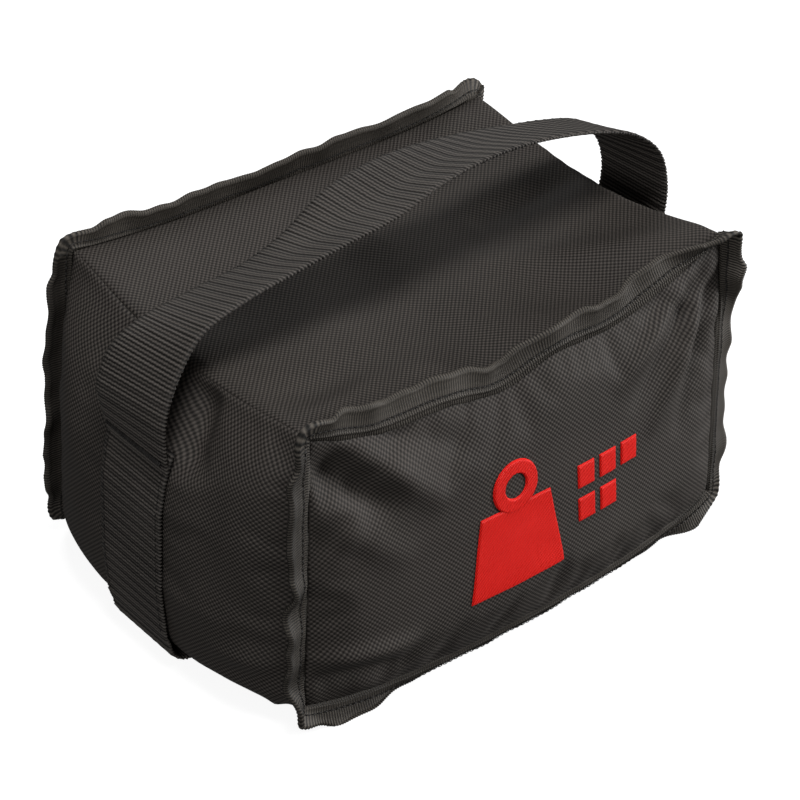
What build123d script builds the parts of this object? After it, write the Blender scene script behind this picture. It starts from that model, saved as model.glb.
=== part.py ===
"""Sandbag for weighing down stands: a box-shaped fabric bag with bound seams,
a webbing strap round its middle that rises into a carrying handle, a zip in
the back panel and a closed inner bag of dry sand.

Frame: the origin is on the floor under the middle of the bag, +X runs along
its length, the front panel faces -Y, and +Z is up. All sizes are millimetres.
"""
import os

from build123d import *

# ---- Driving dimensions ----------------------------------------------------
LENGTH = 286.0          # between the left and right end seams
DEPTH = 202.0           # between the front and back seams
SEAM_LOW = 15.0         # height of the lower seams above the floor
SEAM_HIGH = 182.0       # height of the upper seams above the floor
FACE_BULGE = 10.0       # how far the filled front and back stand past their seams
END_BULGE = 23.0        # how far the filled ends stand past their seams
FOOT_BULGE = 14.0       # how far the ends stand out just above the floor

FABRIC = 1.0            # coated nylon of the outer bag
WEBBING_WIDTH = 50.8    # two-inch webbing
WEBBING = 2.2           # thickness of the webbing
MARGIN = 14.2           # seam allowance outside the stitching line
MARGIN_THICK = 1.2      # one layer of seam allowance
TAPE = 0.8              # thickness of the binding tape
TAPE_STANDS_OFF = 2.0   # from the seam to the inner edge of the binding tape
MARGIN_CORNER = 6.0     # corner radius of the bound seam allowance
THREAD = 0.4            # thickness of a line of stitching

HANDLE_ANCHOR = 140.0   # height where the handle leaves the sewn strap
HANDLE_SHOULDER = 192.0  # height where the handle turns over the end of the bag
HANDLE_TOP = 234.0      # height where its two slopes would meet
HANDLE_X = 170.0        # from the middle of the bag to the handle's upright part

ZIP_HEIGHT = (SEAM_LOW + SEAM_HIGH) / 2
ZIP_HALF = 93.0         # half the length of the zip's opening
ZIP_SLOT = 9.0          # gap between the two edges of the back panel at the zip
ZIP_CHAIN = 4.8         # width of the closed coil
ZIP_CHAIN_THICK = 1.8
SLIDER_LENGTH = 9.0
SLIDER_REST = 87.0      # the slider's place along X when the zip is closed

# ---- Sizes worked out from the driving dimensions --------------------------
HALF_LENGTH = LENGTH / 2
HALF_DEPTH = DEPTH / 2
BAG_BOTTOM = WEBBING                    # the strap passes under the bag
MID_HEIGHT = (SEAM_LOW + SEAM_HIGH) / 2
FLANGE_OUT = MARGIN + TAPE              # bound edge, measured from the seam
FACE_OUT = HALF_DEPTH + FACE_BULGE      # front and back panels at their fullest

os.makedirs("parts", exist_ok=True)


def save(piece, node):
    """Label a finished piece and write it as one STEP file."""
    piece.part.label = node
    export_step(piece.part, "parts/" + node + ".step")


def side_face(inset):
    """Make the outline seen from the front: flat top and bottom, bulging ends."""
    foot = HALF_LENGTH + FOOT_BULGE
    with BuildSketch() as face:
        with BuildLine():
            for side in (1, -1):
                ThreePointArc(
                    (side * HALF_LENGTH, SEAM_HIGH),
                    (side * (HALF_LENGTH + END_BULGE), MID_HEIGHT),
                    (side * foot, BAG_BOTTOM),
                )
            Line((foot, BAG_BOTTOM), (-foot, BAG_BOTTOM))
            Line((-HALF_LENGTH, SEAM_HIGH), (HALF_LENGTH, SEAM_HIGH))
        make_face()
        fillet(face.vertices().group_by(Axis.Y)[0], radius=10.0)
        if inset:
            offset(amount=-inset, kind=Kind.INTERSECTION)
    return face.sketch


def end_face(inset):
    """Make the outline seen from the end: flat top and bottom, bulging front and back."""
    turn = SEAM_LOW - BAG_BOTTOM
    flat = HALF_DEPTH - 3.0 - turn
    with BuildSketch() as face:
        with BuildLine():
            for side in (1, -1):
                ThreePointArc(
                    (side * HALF_DEPTH, SEAM_HIGH), (side * FACE_OUT, MID_HEIGHT), (side * HALF_DEPTH, SEAM_LOW)
                )
                Line((side * HALF_DEPTH, SEAM_LOW), (side * (flat + turn), SEAM_LOW))
                RadiusArc(
                    (side * (flat + turn), SEAM_LOW), (side * flat, BAG_BOTTOM), radius=side * turn
                )
            Line((-flat, BAG_BOTTOM), (flat, BAG_BOTTOM))
            Line((-HALF_DEPTH, SEAM_HIGH), (HALF_DEPTH, SEAM_HIGH))
        make_face()
        if inset:
            offset(amount=-inset, kind=Kind.INTERSECTION)
    return face.sketch


def plan_face(inset):
    """Make the outline seen from above, drawn in to the four upright seams."""
    face_swell = 2 * FACE_BULGE     # more than the end view allows, so the middle is straight
    end_swell = END_BULGE + 3.0
    with BuildSketch() as face:
        with BuildLine():
            for side in (1, -1):
                ThreePointArc(
                    (-HALF_LENGTH, side * HALF_DEPTH),
                    (0, side * (HALF_DEPTH + face_swell)),
                    (HALF_LENGTH, side * HALF_DEPTH),
                )
                ThreePointArc(
                    (side * HALF_LENGTH, -HALF_DEPTH),
                    (side * (HALF_LENGTH + end_swell), 0),
                    (side * HALF_LENGTH, HALF_DEPTH),
                )
        make_face()
        if inset:
            offset(amount=-inset, kind=Kind.INTERSECTION)
    return face.sketch


def sack(inset):
    """Make the filled bag's form, drawn in by the inset on every side."""
    with BuildPart() as form:
        with BuildSketch(Plane.XY):
            add(plan_face(inset))
        extrude(amount=2 * SEAM_HIGH)
        with BuildSketch(Plane.XZ):
            add(side_face(inset))
        extrude(amount=DEPTH, both=True, mode=Mode.INTERSECT)
        with BuildSketch(Plane.YZ):
            add(end_face(inset))
        extrude(amount=LENGTH, both=True, mode=Mode.INTERSECT)
    return form.part


OUTER_FORM = sack(0)
INNER_FORM = sack(FABRIC)


def edge_frame(reach_out, reach_in):
    """Sketch a picture-frame shape round the front or back seam on its plane.

    Both reaches are measured from the seam: outwards to the frame's outer
    edge, and outwards (or inwards, when negative) to its inner edge.
    """
    height = SEAM_HIGH - SEAM_LOW
    with BuildSketch() as frame:
        with Locations((0, MID_HEIGHT)):
            RectangleRounded(LENGTH + 2 * reach_out, height + 2 * reach_out, MARGIN_CORNER)
            Rectangle(LENGTH + 2 * reach_in, height + 2 * reach_in, mode=Mode.SUBTRACT)
    return frame.sketch


# ---- Outer bag: front and back panels with their seam allowance ------------
front_margin = Plane.XZ.offset(HALF_DEPTH)
back_margin = Plane.XZ.offset(-HALF_DEPTH)

with BuildPart() as front_panel:
    add(OUTER_FORM)
    add(INNER_FORM, mode=Mode.SUBTRACT)
    split(bisect_by=front_margin, keep=Keep.TOP)
    with BuildSketch(front_margin):
        add(edge_frame(MARGIN, -6.0))
    extrude(amount=MARGIN_THICK)
save(front_panel, "front_panel")

with BuildPart() as back_panel:
    add(OUTER_FORM)
    add(INNER_FORM, mode=Mode.SUBTRACT)
    split(bisect_by=back_margin, keep=Keep.BOTTOM)
    with BuildSketch(back_margin):
        add(edge_frame(MARGIN, -6.0))
    extrude(amount=-MARGIN_THICK)
    with BuildSketch(back_margin):
        with Locations((0, ZIP_HEIGHT)):
            RectangleRounded(2 * ZIP_HALF, ZIP_SLOT, 2.0)
    extrude(amount=-2 * FACE_BULGE, mode=Mode.SUBTRACT)
save(back_panel, "back_panel")


# ---- Outer bag: top, bottom and ends, each with its turned-out margins ------
def gusset_panel(cuts, margin_x, margin_z):
    """Make one panel between the front and back seams.

    The cuts are (plane, side to keep) pairs that part it from its neighbours.
    Its margins at the front and back are rectangles from margin_x[0] to
    margin_x[1] along the bag and margin_z[0] to margin_z[1] in height.
    """
    middle = ((margin_x[0] + margin_x[1]) / 2, (margin_z[0] + margin_z[1]) / 2)
    width = margin_x[1] - margin_x[0]
    height = margin_z[1] - margin_z[0]
    with BuildPart() as panel:
        add(OUTER_FORM)
        add(INNER_FORM, mode=Mode.SUBTRACT)
        split(bisect_by=front_margin, keep=Keep.BOTTOM)
        split(bisect_by=back_margin, keep=Keep.TOP)
        for plane, keep in cuts:
            split(bisect_by=plane, keep=keep)
        for plane, inward in ((front_margin, -1), (back_margin, 1)):
            with BuildSketch(plane):
                with Locations(middle):
                    Rectangle(width, height)
            extrude(amount=inward * MARGIN_THICK)
    return panel


top_cut = Plane.XY.offset(SEAM_HIGH - FABRIC)
bottom_cut = Plane.XY.offset(SEAM_LOW + FABRIC)
right_cut = Plane.YZ.offset(HALF_LENGTH - 4.0)
left_cut = Plane.YZ.offset(-HALF_LENGTH + 4.0)
end_margin_z = (SEAM_LOW + FABRIC, SEAM_HIGH - FABRIC)

top_panel = gusset_panel(
    [(top_cut, Keep.TOP)],
    (-HALF_LENGTH + FABRIC, HALF_LENGTH - FABRIC),
    (SEAM_HIGH - FABRIC, SEAM_HIGH + MARGIN),
)
save(top_panel, "top_panel")

bottom_panel = gusset_panel(
    [(bottom_cut, Keep.BOTTOM)],
    (-HALF_LENGTH + FABRIC, HALF_LENGTH - FABRIC),
    (SEAM_LOW - MARGIN, SEAM_LOW + FABRIC),
)
save(bottom_panel, "bottom_panel")

right_end_panel = gusset_panel(
    [(top_cut, Keep.BOTTOM), (bottom_cut, Keep.TOP), (right_cut, Keep.TOP)],
    (HALF_LENGTH - FABRIC, HALF_LENGTH + MARGIN),
    end_margin_z,
)
save(right_end_panel, "right_end_panel")

left_end_panel = gusset_panel(
    [(top_cut, Keep.BOTTOM), (bottom_cut, Keep.TOP), (left_cut, Keep.BOTTOM)],
    (-HALF_LENGTH - MARGIN, -HALF_LENGTH + FABRIC),
    end_margin_z,
)
save(left_end_panel, "left_end_panel")


# ---- Binding: a folded tape over each bound seam, and its stitching ---------
def binding(side):
    """Make the tape folded over the seam allowance: side 1 is front, -1 back."""
    inner_leg = Plane.XZ.offset(side * (HALF_DEPTH - MARGIN_THICK - TAPE))
    margin_back = Plane.XZ.offset(side * (HALF_DEPTH - MARGIN_THICK))
    with BuildPart() as tape:
        with BuildSketch(inner_leg):
            add(edge_frame(FLANGE_OUT, TAPE_STANDS_OFF))
        extrude(amount=side * (2 * MARGIN_THICK + 2 * TAPE))
        with BuildSketch(margin_back):
            add(edge_frame(MARGIN, 0))
        extrude(amount=side * 2 * MARGIN_THICK, mode=Mode.SUBTRACT)
    return tape


def binding_thread(side):
    """Make the row of stitching that holds the binding tape, on its outer face."""
    tape_face = Plane.XZ.offset(side * (HALF_DEPTH + MARGIN_THICK + TAPE))
    row = TAPE_STANDS_OFF + 2.5
    with BuildPart() as thread:
        with BuildSketch(tape_face):
            add(edge_frame(row + 0.8, row))
        extrude(amount=side * THREAD)
    return thread


save(binding(1), "front_binding_tape")
save(binding(-1), "back_binding_tape")
save(binding_thread(1), "front_binding_stitching")
save(binding_thread(-1), "back_binding_stitching")

# ---- Strap sewn down both ends and under the bag ---------------------------
with BuildPart() as sewn_strap:
    with BuildSketch(Plane.XZ) as strap_path:
        add(side_face(-WEBBING))
        add(side_face(0), mode=Mode.SUBTRACT)
        with Locations((0, HANDLE_ANCHOR)):
            Rectangle(3 * LENGTH, SEAM_HIGH, align=(Align.CENTER, Align.MIN), mode=Mode.SUBTRACT)
    extrude(amount=WEBBING_WIDTH / 2, both=True)
save(sewn_strap, "sewn_strap")


def strap_thread(side):
    """Make the two rows of stitching along the strap on one end of the bag."""
    row_y = WEBBING_WIDTH / 2 - 4.0
    height = HANDLE_ANCHOR - 30.0 - SEAM_LOW
    with BuildPart() as rows:
        for y in (-row_y, row_y):
            with BuildSketch(Plane.XZ.offset(-y)):
                add(side_face(-WEBBING - THREAD))
                add(side_face(-WEBBING), mode=Mode.SUBTRACT)
                with Locations((side * LENGTH, SEAM_LOW)):
                    Rectangle(LENGTH, height, align=(Align.CENTER, Align.MIN), mode=Mode.INTERSECT)
            extrude(amount=0.8)
    return rows


save(strap_thread(-1), "left_strap_stitching")
save(strap_thread(1), "right_strap_stitching")

# ---- Handle: the free part of the webbing, swinging on its two anchors ------
with BuildPart() as handle:
    with BuildSketch(Plane.XZ):
        with BuildLine():
            FilletPolyline(
                (-HANDLE_X, HANDLE_ANCHOR),
                (-HANDLE_X, HANDLE_SHOULDER),
                (0, HANDLE_TOP),
                (HANDLE_X, HANDLE_SHOULDER),
                (HANDLE_X, HANDLE_ANCHOR),
                radius=(28.0, 220.0, 28.0),
            )
        trace(line_width=WEBBING)
    extrude(amount=WEBBING_WIDTH / 2, both=True)
    for side in (-1, 1):
        with BuildSketch(Plane.YZ.offset(side * HANDLE_X - WEBBING / 2)):
            with Locations((0, HANDLE_ANCHOR)):
                Circle(WEBBING_WIDTH / 2)
        extrude(amount=WEBBING)
save(handle, "handle")


def bar_tack(side):
    """Make the dense stitched bar that holds one end of the handle."""
    with BuildPart() as tack:
        with BuildSketch(Plane.YZ.offset(side * (HANDLE_X + WEBBING / 2))):
            with Locations((0, HANDLE_ANCHOR)):
                SlotOverall(WEBBING_WIDTH - 8.0, 3.0)
        extrude(amount=side * THREAD)
    return tack


save(bar_tack(-1), "left_bar_tack")
save(bar_tack(1), "right_bar_tack")

# ---- Zip in the back panel --------------------------------------------------
ZIP_TAPE = 0.6
CHAIN_BASE = FACE_OUT - FABRIC - 0.5    # the tapes lie just inside the back panel
CHAIN_TOP = CHAIN_BASE + ZIP_CHAIN_THICK
tape_plane = Plane.XZ.offset(ZIP_TAPE - CHAIN_BASE)
chain_plane = Plane.XZ.offset(-CHAIN_BASE)


def zip_tape(side):
    """Make the woven tape of one half of the zip, upper 1 or lower -1."""
    width = 13.0
    with BuildPart() as tape:
        with BuildSketch(tape_plane):
            with Locations((0, ZIP_HEIGHT + side * width / 2)):
                Rectangle(2 * ZIP_HALF + 8.0, width)
        extrude(amount=-ZIP_TAPE)
    return tape


def zip_coil(side):
    """Make the coil of one half of the zip, upper 1 or lower -1."""
    with BuildPart() as coil:
        with BuildSketch(chain_plane):
            with Locations((0, ZIP_HEIGHT + side * ZIP_CHAIN / 4)):
                Rectangle(2 * ZIP_HALF - 5.2, ZIP_CHAIN / 2)
        extrude(amount=-ZIP_CHAIN_THICK)
        outer_edges = coil.edges().filter_by(Axis.X).group_by(Axis.Y)[-1]
        fillet(outer_edges.sort_by(Axis.Z)[-1 if side > 0 else 0], radius=0.8)
    return coil


def zip_stop(x):
    """Make one end stop of the zip, a small block over both tapes."""
    with BuildPart() as stop:
        with BuildSketch(chain_plane):
            with Locations((x, ZIP_HEIGHT)):
                RectangleRounded(2.4, ZIP_CHAIN + 1.6, 0.5)
        extrude(amount=-ZIP_CHAIN_THICK - 0.4)
        fillet(stop.faces().sort_by(Axis.Y)[-1].edges(), radius=0.4)
    return stop


save(zip_tape(1), "zipper_tape_upper")
save(zip_tape(-1), "zipper_tape_lower")
save(zip_coil(1), "zipper_coil_upper")
save(zip_coil(-1), "zipper_coil_lower")
stop_x = ZIP_HALF - 2.6 + 1.2
save(zip_stop(stop_x), "zipper_top_stop")
save(zip_stop(-stop_x), "zipper_bottom_stop")

PLATE_IN = CHAIN_TOP + 0.4      # underside of the slider's plate
PLATE_OUT = PLATE_IN + 1.1
TAB_AXIS = PLATE_OUT + 1.0      # the pull tab turns about an upright line here
cheek = ZIP_CHAIN / 2 + 1.1     # to the middle of the slider's rolled edges

with BuildPart() as zipper_slider:
    with BuildSketch(Plane.XZ.offset(-PLATE_IN)):
        with Locations((SLIDER_REST, ZIP_HEIGHT)):
            RectangleRounded(SLIDER_LENGTH, 2 * cheek + 0.9, 1.6)
    extrude(amount=PLATE_IN - PLATE_OUT)
    with BuildSketch(Plane.XZ.offset(-PLATE_IN)):
        with Locations((SLIDER_REST, ZIP_HEIGHT + cheek), (SLIDER_REST, ZIP_HEIGHT - cheek)):
            Rectangle(SLIDER_LENGTH - 3.4, 0.8)
    extrude(amount=ZIP_CHAIN_THICK)
    with BuildSketch(Plane.XY.offset(ZIP_HEIGHT)):
        with Locations((SLIDER_REST, PLATE_OUT)):
            RectangleRounded(6.4, 6.4, 1.4)
            Rectangle(4.0, 4.0, mode=Mode.SUBTRACT)
            with Locations((0, -2.2)):
                Rectangle(8.0, 4.4, mode=Mode.SUBTRACT)
    extrude(amount=1.2, both=True)
save(zipper_slider, "zipper_slider")

with BuildPart() as zipper_pull_tab:
    with BuildSketch(Plane.XZ.offset(-TAB_AXIS)):
        with Locations((SLIDER_REST - 12.0, ZIP_HEIGHT)):
            RectangleRounded(24.0, 6.4, 1.4)
        with Locations((SLIDER_REST - 3.2, ZIP_HEIGHT)):
            Rectangle(7.0, 3.4, mode=Mode.SUBTRACT)
        with Locations((SLIDER_REST - 21.0, ZIP_HEIGHT)):
            SlotOverall(3.6, 2.0, mode=Mode.SUBTRACT)
    extrude(amount=0.6, both=True)
    with BuildSketch(Plane.XY.offset(ZIP_HEIGHT)):
        with Locations((SLIDER_REST, TAB_AXIS)):
            Circle(0.7)
    extrude(amount=3.2, both=True)
save(zipper_pull_tab, "zipper_pull_tab")

# ---- Inner bag of sand ------------------------------------------------------
LINER_GAP = 2.4         # from the outer bag's outside to the liner
LINER = 0.6
LINER_TOP = SEAM_HIGH - 24.0     # the fill settles well below the top panel
FLAP_WIDTH = 60.0

liner_hollow_form = sack(LINER_GAP + LINER)

with BuildPart() as liner_hollow:
    add(liner_hollow_form)
    split(bisect_by=Plane.XY.offset(LINER_TOP - LINER), keep=Keep.BOTTOM)

with BuildPart() as liner_bag:
    add(sack(LINER_GAP))
    split(bisect_by=Plane.XY.offset(LINER_TOP), keep=Keep.BOTTOM)
    add(liner_hollow.part, mode=Mode.SUBTRACT)
save(liner_bag, "liner_bag")

with BuildPart() as sand_fill:
    add(liner_hollow_form)
    split(bisect_by=Plane.XY.offset(LINER_TOP - LINER - 4.0), keep=Keep.BOTTOM)
save(sand_fill, "sand_fill")


def closing_strip(level):
    """Make one touch-fastening strip that closes the liner, at a height."""
    with BuildPart() as strip:
        with BuildSketch(Plane.XY.offset(level)):
            Rectangle(200.0, 25.0)
        extrude(amount=1.4)
    return strip


save(closing_strip(LINER_TOP), "liner_loop_strip")
save(closing_strip(LINER_TOP + 1.4), "liner_hook_strip")

with BuildPart() as liner_flap:
    with BuildSketch(Plane.XY.offset(LINER_TOP + 2.8)):
        Rectangle(220.0, FLAP_WIDTH)
    extrude(amount=LINER)
    with BuildSketch(Plane.XY.offset(LINER_TOP)):
        with Locations((0, FLAP_WIDTH / 2 - LINER / 2)):
            Rectangle(220.0, LINER)
    extrude(amount=2.8)
save(liner_flap, "liner_flap")


# ---- Embroidered mark on the front: a weight and two rows of plain bars ------
def emblem_outline():
    """Sketch the mark in the front view."""
    with BuildSketch() as mark:
        with Locations((-19.0, 70.0)):
            Trapezoid(64.0, 48.0, 80.0)
        with Locations((-19.0, 105.0)):
            Circle(15.0)
            Circle(7.0, mode=Mode.SUBTRACT)
        for low, count in ((84.0, 3), (64.0, 2)):
            for number in range(count):
                with Locations((30.0 + 16.0 * number, low + 7.0)):
                    Rectangle(12.0, 14.0)
    return mark.sketch


def backing_outline():
    """Sketch the stiffening sheet behind the mark in the front view."""
    with BuildSketch() as sheet:
        with Locations((6.0, 76.0)):
            RectangleRounded(140.0, 96.0, 4.0)
    return sheet.sketch


def layer_on_front(outline, outside, inside):
    """Make a thin layer that follows the bulging front between two forms."""
    with BuildPart() as layer:
        with BuildSketch(Plane.XZ.offset(HALF_DEPTH)):
            add(outline)
        extrude(amount=FACE_BULGE + 5.0)
        add(outside, mode=Mode.INTERSECT)
        add(inside, mode=Mode.SUBTRACT)
    return layer


save(layer_on_front(emblem_outline(), sack(-0.6), OUTER_FORM), "emblem_embroidery")
save(layer_on_front(backing_outline(), INNER_FORM, sack(FABRIC + 0.4)), "emblem_backing")
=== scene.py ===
"""The sandbag's finished look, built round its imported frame.

Lengths are metres. +X runs along the bag, the front panel faces -Y and +Z is up.
Each sub-assembly is a class: the filled bag and its six panels, the bound seams,
the strap and handle, the zip, the embroidered mark and the inner bag of sand.
"""
import logging
import math
from dataclasses import dataclass, field
from enum import Enum
from typing import Any, Callable, Iterable, Sequence

import bmesh
import bpy
import numpy as np
from mathutils import Matrix, Vector
from mathutils.bvhtree import BVHTree


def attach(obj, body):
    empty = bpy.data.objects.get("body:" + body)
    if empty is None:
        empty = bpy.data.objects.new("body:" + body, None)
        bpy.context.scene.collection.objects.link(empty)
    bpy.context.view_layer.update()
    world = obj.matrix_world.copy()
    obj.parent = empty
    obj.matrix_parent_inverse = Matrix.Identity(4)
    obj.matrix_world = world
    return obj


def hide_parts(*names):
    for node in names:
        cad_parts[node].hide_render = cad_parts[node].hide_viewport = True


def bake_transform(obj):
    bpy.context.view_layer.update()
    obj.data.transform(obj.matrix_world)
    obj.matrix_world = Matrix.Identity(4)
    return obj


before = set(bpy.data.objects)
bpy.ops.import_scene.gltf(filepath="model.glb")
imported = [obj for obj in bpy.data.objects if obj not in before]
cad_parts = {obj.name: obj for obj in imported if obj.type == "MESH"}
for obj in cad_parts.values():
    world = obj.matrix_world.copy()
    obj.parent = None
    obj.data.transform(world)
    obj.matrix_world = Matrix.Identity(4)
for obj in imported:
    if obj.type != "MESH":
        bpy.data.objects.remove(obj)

LOG = logging.getLogger("sandbag")
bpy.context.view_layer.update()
MM = 0.001
Point = np.ndarray


class Side(Enum):
    """The two faces of the bag that have bound seams."""

    FRONT = -1
    BACK = 1


class Panel(Enum):
    """The six panels of the outer bag, by their order in the shell."""

    FRONT = 0
    BACK = 1
    TOP = 2
    BOTTOM = 3
    LEFT = 4
    RIGHT = 5


# ---------------------------------------------------------------- shader maths
class Socket:
    """One output of a node graph, with arithmetic that adds Math nodes."""

    def __init__(self, graph: "Graph", out: Any) -> None:
        """Wrap an output socket, or a plain number, of a graph."""
        self.graph = graph
        self.out = out

    def _math(self, operation: str, *values: Any) -> "Socket":
        """Add one Math node on this value and others."""
        sockets = {index: value for index, value in enumerate(values)}
        return self.graph.node("ShaderNodeMath", {"operation": operation}, sockets)

    def __add__(self, other: Any) -> "Socket":
        """Return self + other."""
        return self._math("ADD", self, other)

    __radd__ = __add__

    def __sub__(self, other: Any) -> "Socket":
        """Return self - other."""
        return self._math("SUBTRACT", self, other)

    def __rsub__(self, other: Any) -> "Socket":
        """Return other - self."""
        return self._math("SUBTRACT", other, self)

    def __mul__(self, other: Any) -> "Socket":
        """Return self * other."""
        return self._math("MULTIPLY", self, other)

    __rmul__ = __mul__

    def __truediv__(self, other: Any) -> "Socket":
        """Return self / other."""
        return self._math("DIVIDE", self, other)

    def __pow__(self, other: Any) -> "Socket":
        """Return self raised to other."""
        return self._math("POWER", self, other)

    def apply(self, operation: str, *values: Any) -> "Socket":
        """Return another Math operation on this value, such as SINE or FLOOR."""
        return self._math(operation, self, *values)


class Graph:
    """The nodes of one material, with a short way to add and link them."""

    def __init__(self, name: str) -> None:
        """Start a material with one principled surface.

        Args:
            name: The material's name.
        """
        self.material = bpy.data.materials.new(name)
        self.material.use_nodes = True
        self.tree = self.material.node_tree
        self.surface = self.tree.nodes["Principled BSDF"]

    def node(self, kind: str, settings: dict[str, Any], sockets: dict[Any, Any], output: Any = 0) -> Socket:
        """Add a node.

        Args:
            kind: The node's type.
            settings: Its settings, set before its sockets.
            sockets: Values or links, by input name or number.
            output: The output to return, by name or number.

        Returns:
            The chosen output.
        """
        node = self.tree.nodes.new(kind)
        for key, value in settings.items():
            if key == "stops":
                self._stops(node.color_ramp, value)
            else:
                setattr(node, key, value)
        for key, value in sockets.items():
            self.feed(node.inputs[key], value)
        return Socket(self, node.outputs[output])

    def _stops(self, ramp: Any, stops: Sequence[tuple[float, Sequence[float]]]) -> None:
        """Give a colour ramp its stops, as (position, colour) pairs."""
        while len(ramp.elements) < len(stops):
            ramp.elements.new(1.0)
        for element, (position, colour) in zip(ramp.elements, stops):
            element.position = position
            element.color = (*colour, 1.0)

    def feed(self, target: Any, value: Any) -> None:
        """Link a value to an input, or set the input to a constant."""
        if isinstance(value, Socket):
            self.tree.links.new(value.out, target)
        elif isinstance(value, tuple) and len(value) == 3 and target.type == "RGBA":
            target.default_value = (*value, 1.0)
        else:
            target.default_value = value

    def set(self, **inputs: Any) -> None:
        """Set the surface's inputs, with underscores for spaces in their names."""
        for key, value in inputs.items():
            self.feed(self.surface.inputs[key.replace("_", " ")], value)

    def uv(self) -> tuple[Socket, Socket]:
        """Return the piece's own U and V, which are in millimetres of cloth."""
        source = self.node("ShaderNodeTexCoord", {}, {}, "UV")
        node = self.tree.nodes.new("ShaderNodeSeparateXYZ")
        self.feed(node.inputs[0], source)
        return Socket(self, node.outputs[0]), Socket(self, node.outputs[1])

    def place(self) -> Socket:
        """Return the position on the piece, in metres."""
        return self.node("ShaderNodeTexCoord", {}, {}, "Object")

    def noise(self, scale: float, detail: float = 2.0, roughness: float = 0.5) -> Socket:
        """Return noise from 0 to 1 over the piece, with a scale per metre."""
        sockets = {"Vector": self.place(), "Scale": scale, "Detail": detail, "Roughness": roughness}
        return self.node("ShaderNodeTexNoise", {}, sockets, "Fac")

    def mix(self, factor: Any, first: Any, second: Any) -> Socket:
        """Mix two colours."""
        settings = {"data_type": "RGBA"}
        return self.node("ShaderNodeMix", settings, {0: factor, 6: first, 7: second}, 2)

    def bump(self, height: Any, distance: float, strength: float = 1.0) -> None:
        """Raise the surface by a height from 0 to 1 times a distance in metres."""
        sockets = {"Height": height, "Distance": distance, "Strength": strength}
        self.set(Normal=self.node("ShaderNodeBump", {}, sockets))


Colour = tuple[float, float, float]


def wave(value: Socket, period: float) -> Socket:
    """Return a wave from 0 to 1 with a period, from 1 at the middle of each."""
    return (value * (2 * math.pi / period)).apply("COSINE") * -0.5 + 0.5


@dataclass(frozen=True)
class WovenFinish:
    """A plain weave of coated yarn, seen as a fine chequer, with painted shade darkening the gaps between its yarns.
    """

    name: str
    low: Colour
    high: Colour
    pitch: float = 1.4
    relief: float = 0.3 * MM
    roughness: float = 0.7
    wear: float = 0.3

    def build(self) -> bpy.types.Material:
        """Return the finished material."""
        graph = Graph(self.name)
        u, v = graph.uv()
        drift = graph.noise(9.0, 3.0) - 0.5
        u = u + drift * 1.6
        v = v - drift * 1.6
        yarns = wave(u, self.pitch) * wave(v, self.pitch)
        over = (wave(u + v, 2 * self.pitch) - wave(u - v, 2 * self.pitch)) * 0.5 + 0.5
        over = 1 - (1 - over) ** 2.2
        height = yarns * 0.3 + over * 0.7
        yarn = graph.noise(900.0, 2.0)
        patch = graph.noise(16.0, 4.0, 0.6)
        # Painted shade: the colour follows the weave's relief, darkest in the gaps between the yarns; the yarn noise
        # and the patches add random tone.
        shade = height**1.4 * 1.5 - 0.22 + yarn * 0.1 + (patch - 0.5) * self.wear
        graph.set(Base_Color=graph.mix(shade, self.low, self.high))
        graph.set(Roughness=0.08 * yarn + (self.roughness - 0.04))
        graph.set(Specular_IOR_Level=0.16)
        graph.bump(height + yarn * 0.25, self.relief)
        return graph.material


@dataclass(frozen=True)
class RibbedFinish:
    """A ribbed narrow cloth, such as webbing or binding tape: ribs across its length, with painted shade darkening
    the hollows between them.
    """

    name: str
    low: Colour
    high: Colour
    rib: float = 1.5
    yarn: float = 0.8
    relief: float = 0.2 * MM
    roughness: float = 0.62
    share: float = 0.5

    def build(self) -> bpy.types.Material:
        """Return the finished material."""
        graph = Graph(self.name)
        along, across = graph.uv()
        rib = wave(along, self.rib)
        yarn = wave(across, self.yarn)
        step = wave(along + across * 0.5 * self.rib / self.yarn, self.rib)
        fibre = graph.noise(1400.0, 2.0)
        patch = graph.noise(22.0, 3.0)
        height = rib * self.share + yarn * step * (1 - self.share)
        # Painted shade: the colour follows the ribs' relief, darkest in the hollows between the ribs; the fibre noise
        # and the patches add random tone.
        shade = height**1.5 * 0.9 + fibre * 0.1 + (patch - 0.5) * 0.2
        graph.set(Base_Color=graph.mix(shade, self.low, self.high))
        graph.set(Roughness=0.1 * fibre + (self.roughness - 0.05))
        graph.set(Specular_IOR_Level=0.18)
        graph.bump(height + fibre * 0.2, self.relief)
        return graph.material


@dataclass(frozen=True)
class ThreadFinish:
    """Twisted thread, laid in rows along the first direction of its cloth, with painted shade darkening the grooves
    between its strands.
    """

    name: str
    low: Colour
    high: Colour
    pitch: float = 0.42
    relief: float = 0.1 * MM
    roughness: float = 0.45

    def build(self) -> bpy.types.Material:
        """Return the finished material."""
        graph = Graph(self.name)
        u, v = graph.uv()
        strand = wave(u + graph.noise(300.0, 1.0) * 0.25, self.pitch)
        twist = wave(v + u * 0.7, self.pitch * 1.7)
        patch = graph.noise(60.0, 3.0)
        # Painted shade: the colour follows the strands' relief, darkest in the grooves between them; the patches add
        # random tone.
        shade = strand * 0.6 + twist * 0.15 + patch * 0.3
        graph.set(Base_Color=graph.mix(shade, self.low, self.high))
        graph.set(Roughness=0.12 * patch + self.roughness)
        graph.set(Specular_IOR_Level=0.15)
        graph.bump(strand * 0.8 + twist * 0.2, self.relief)
        return graph.material


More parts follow.
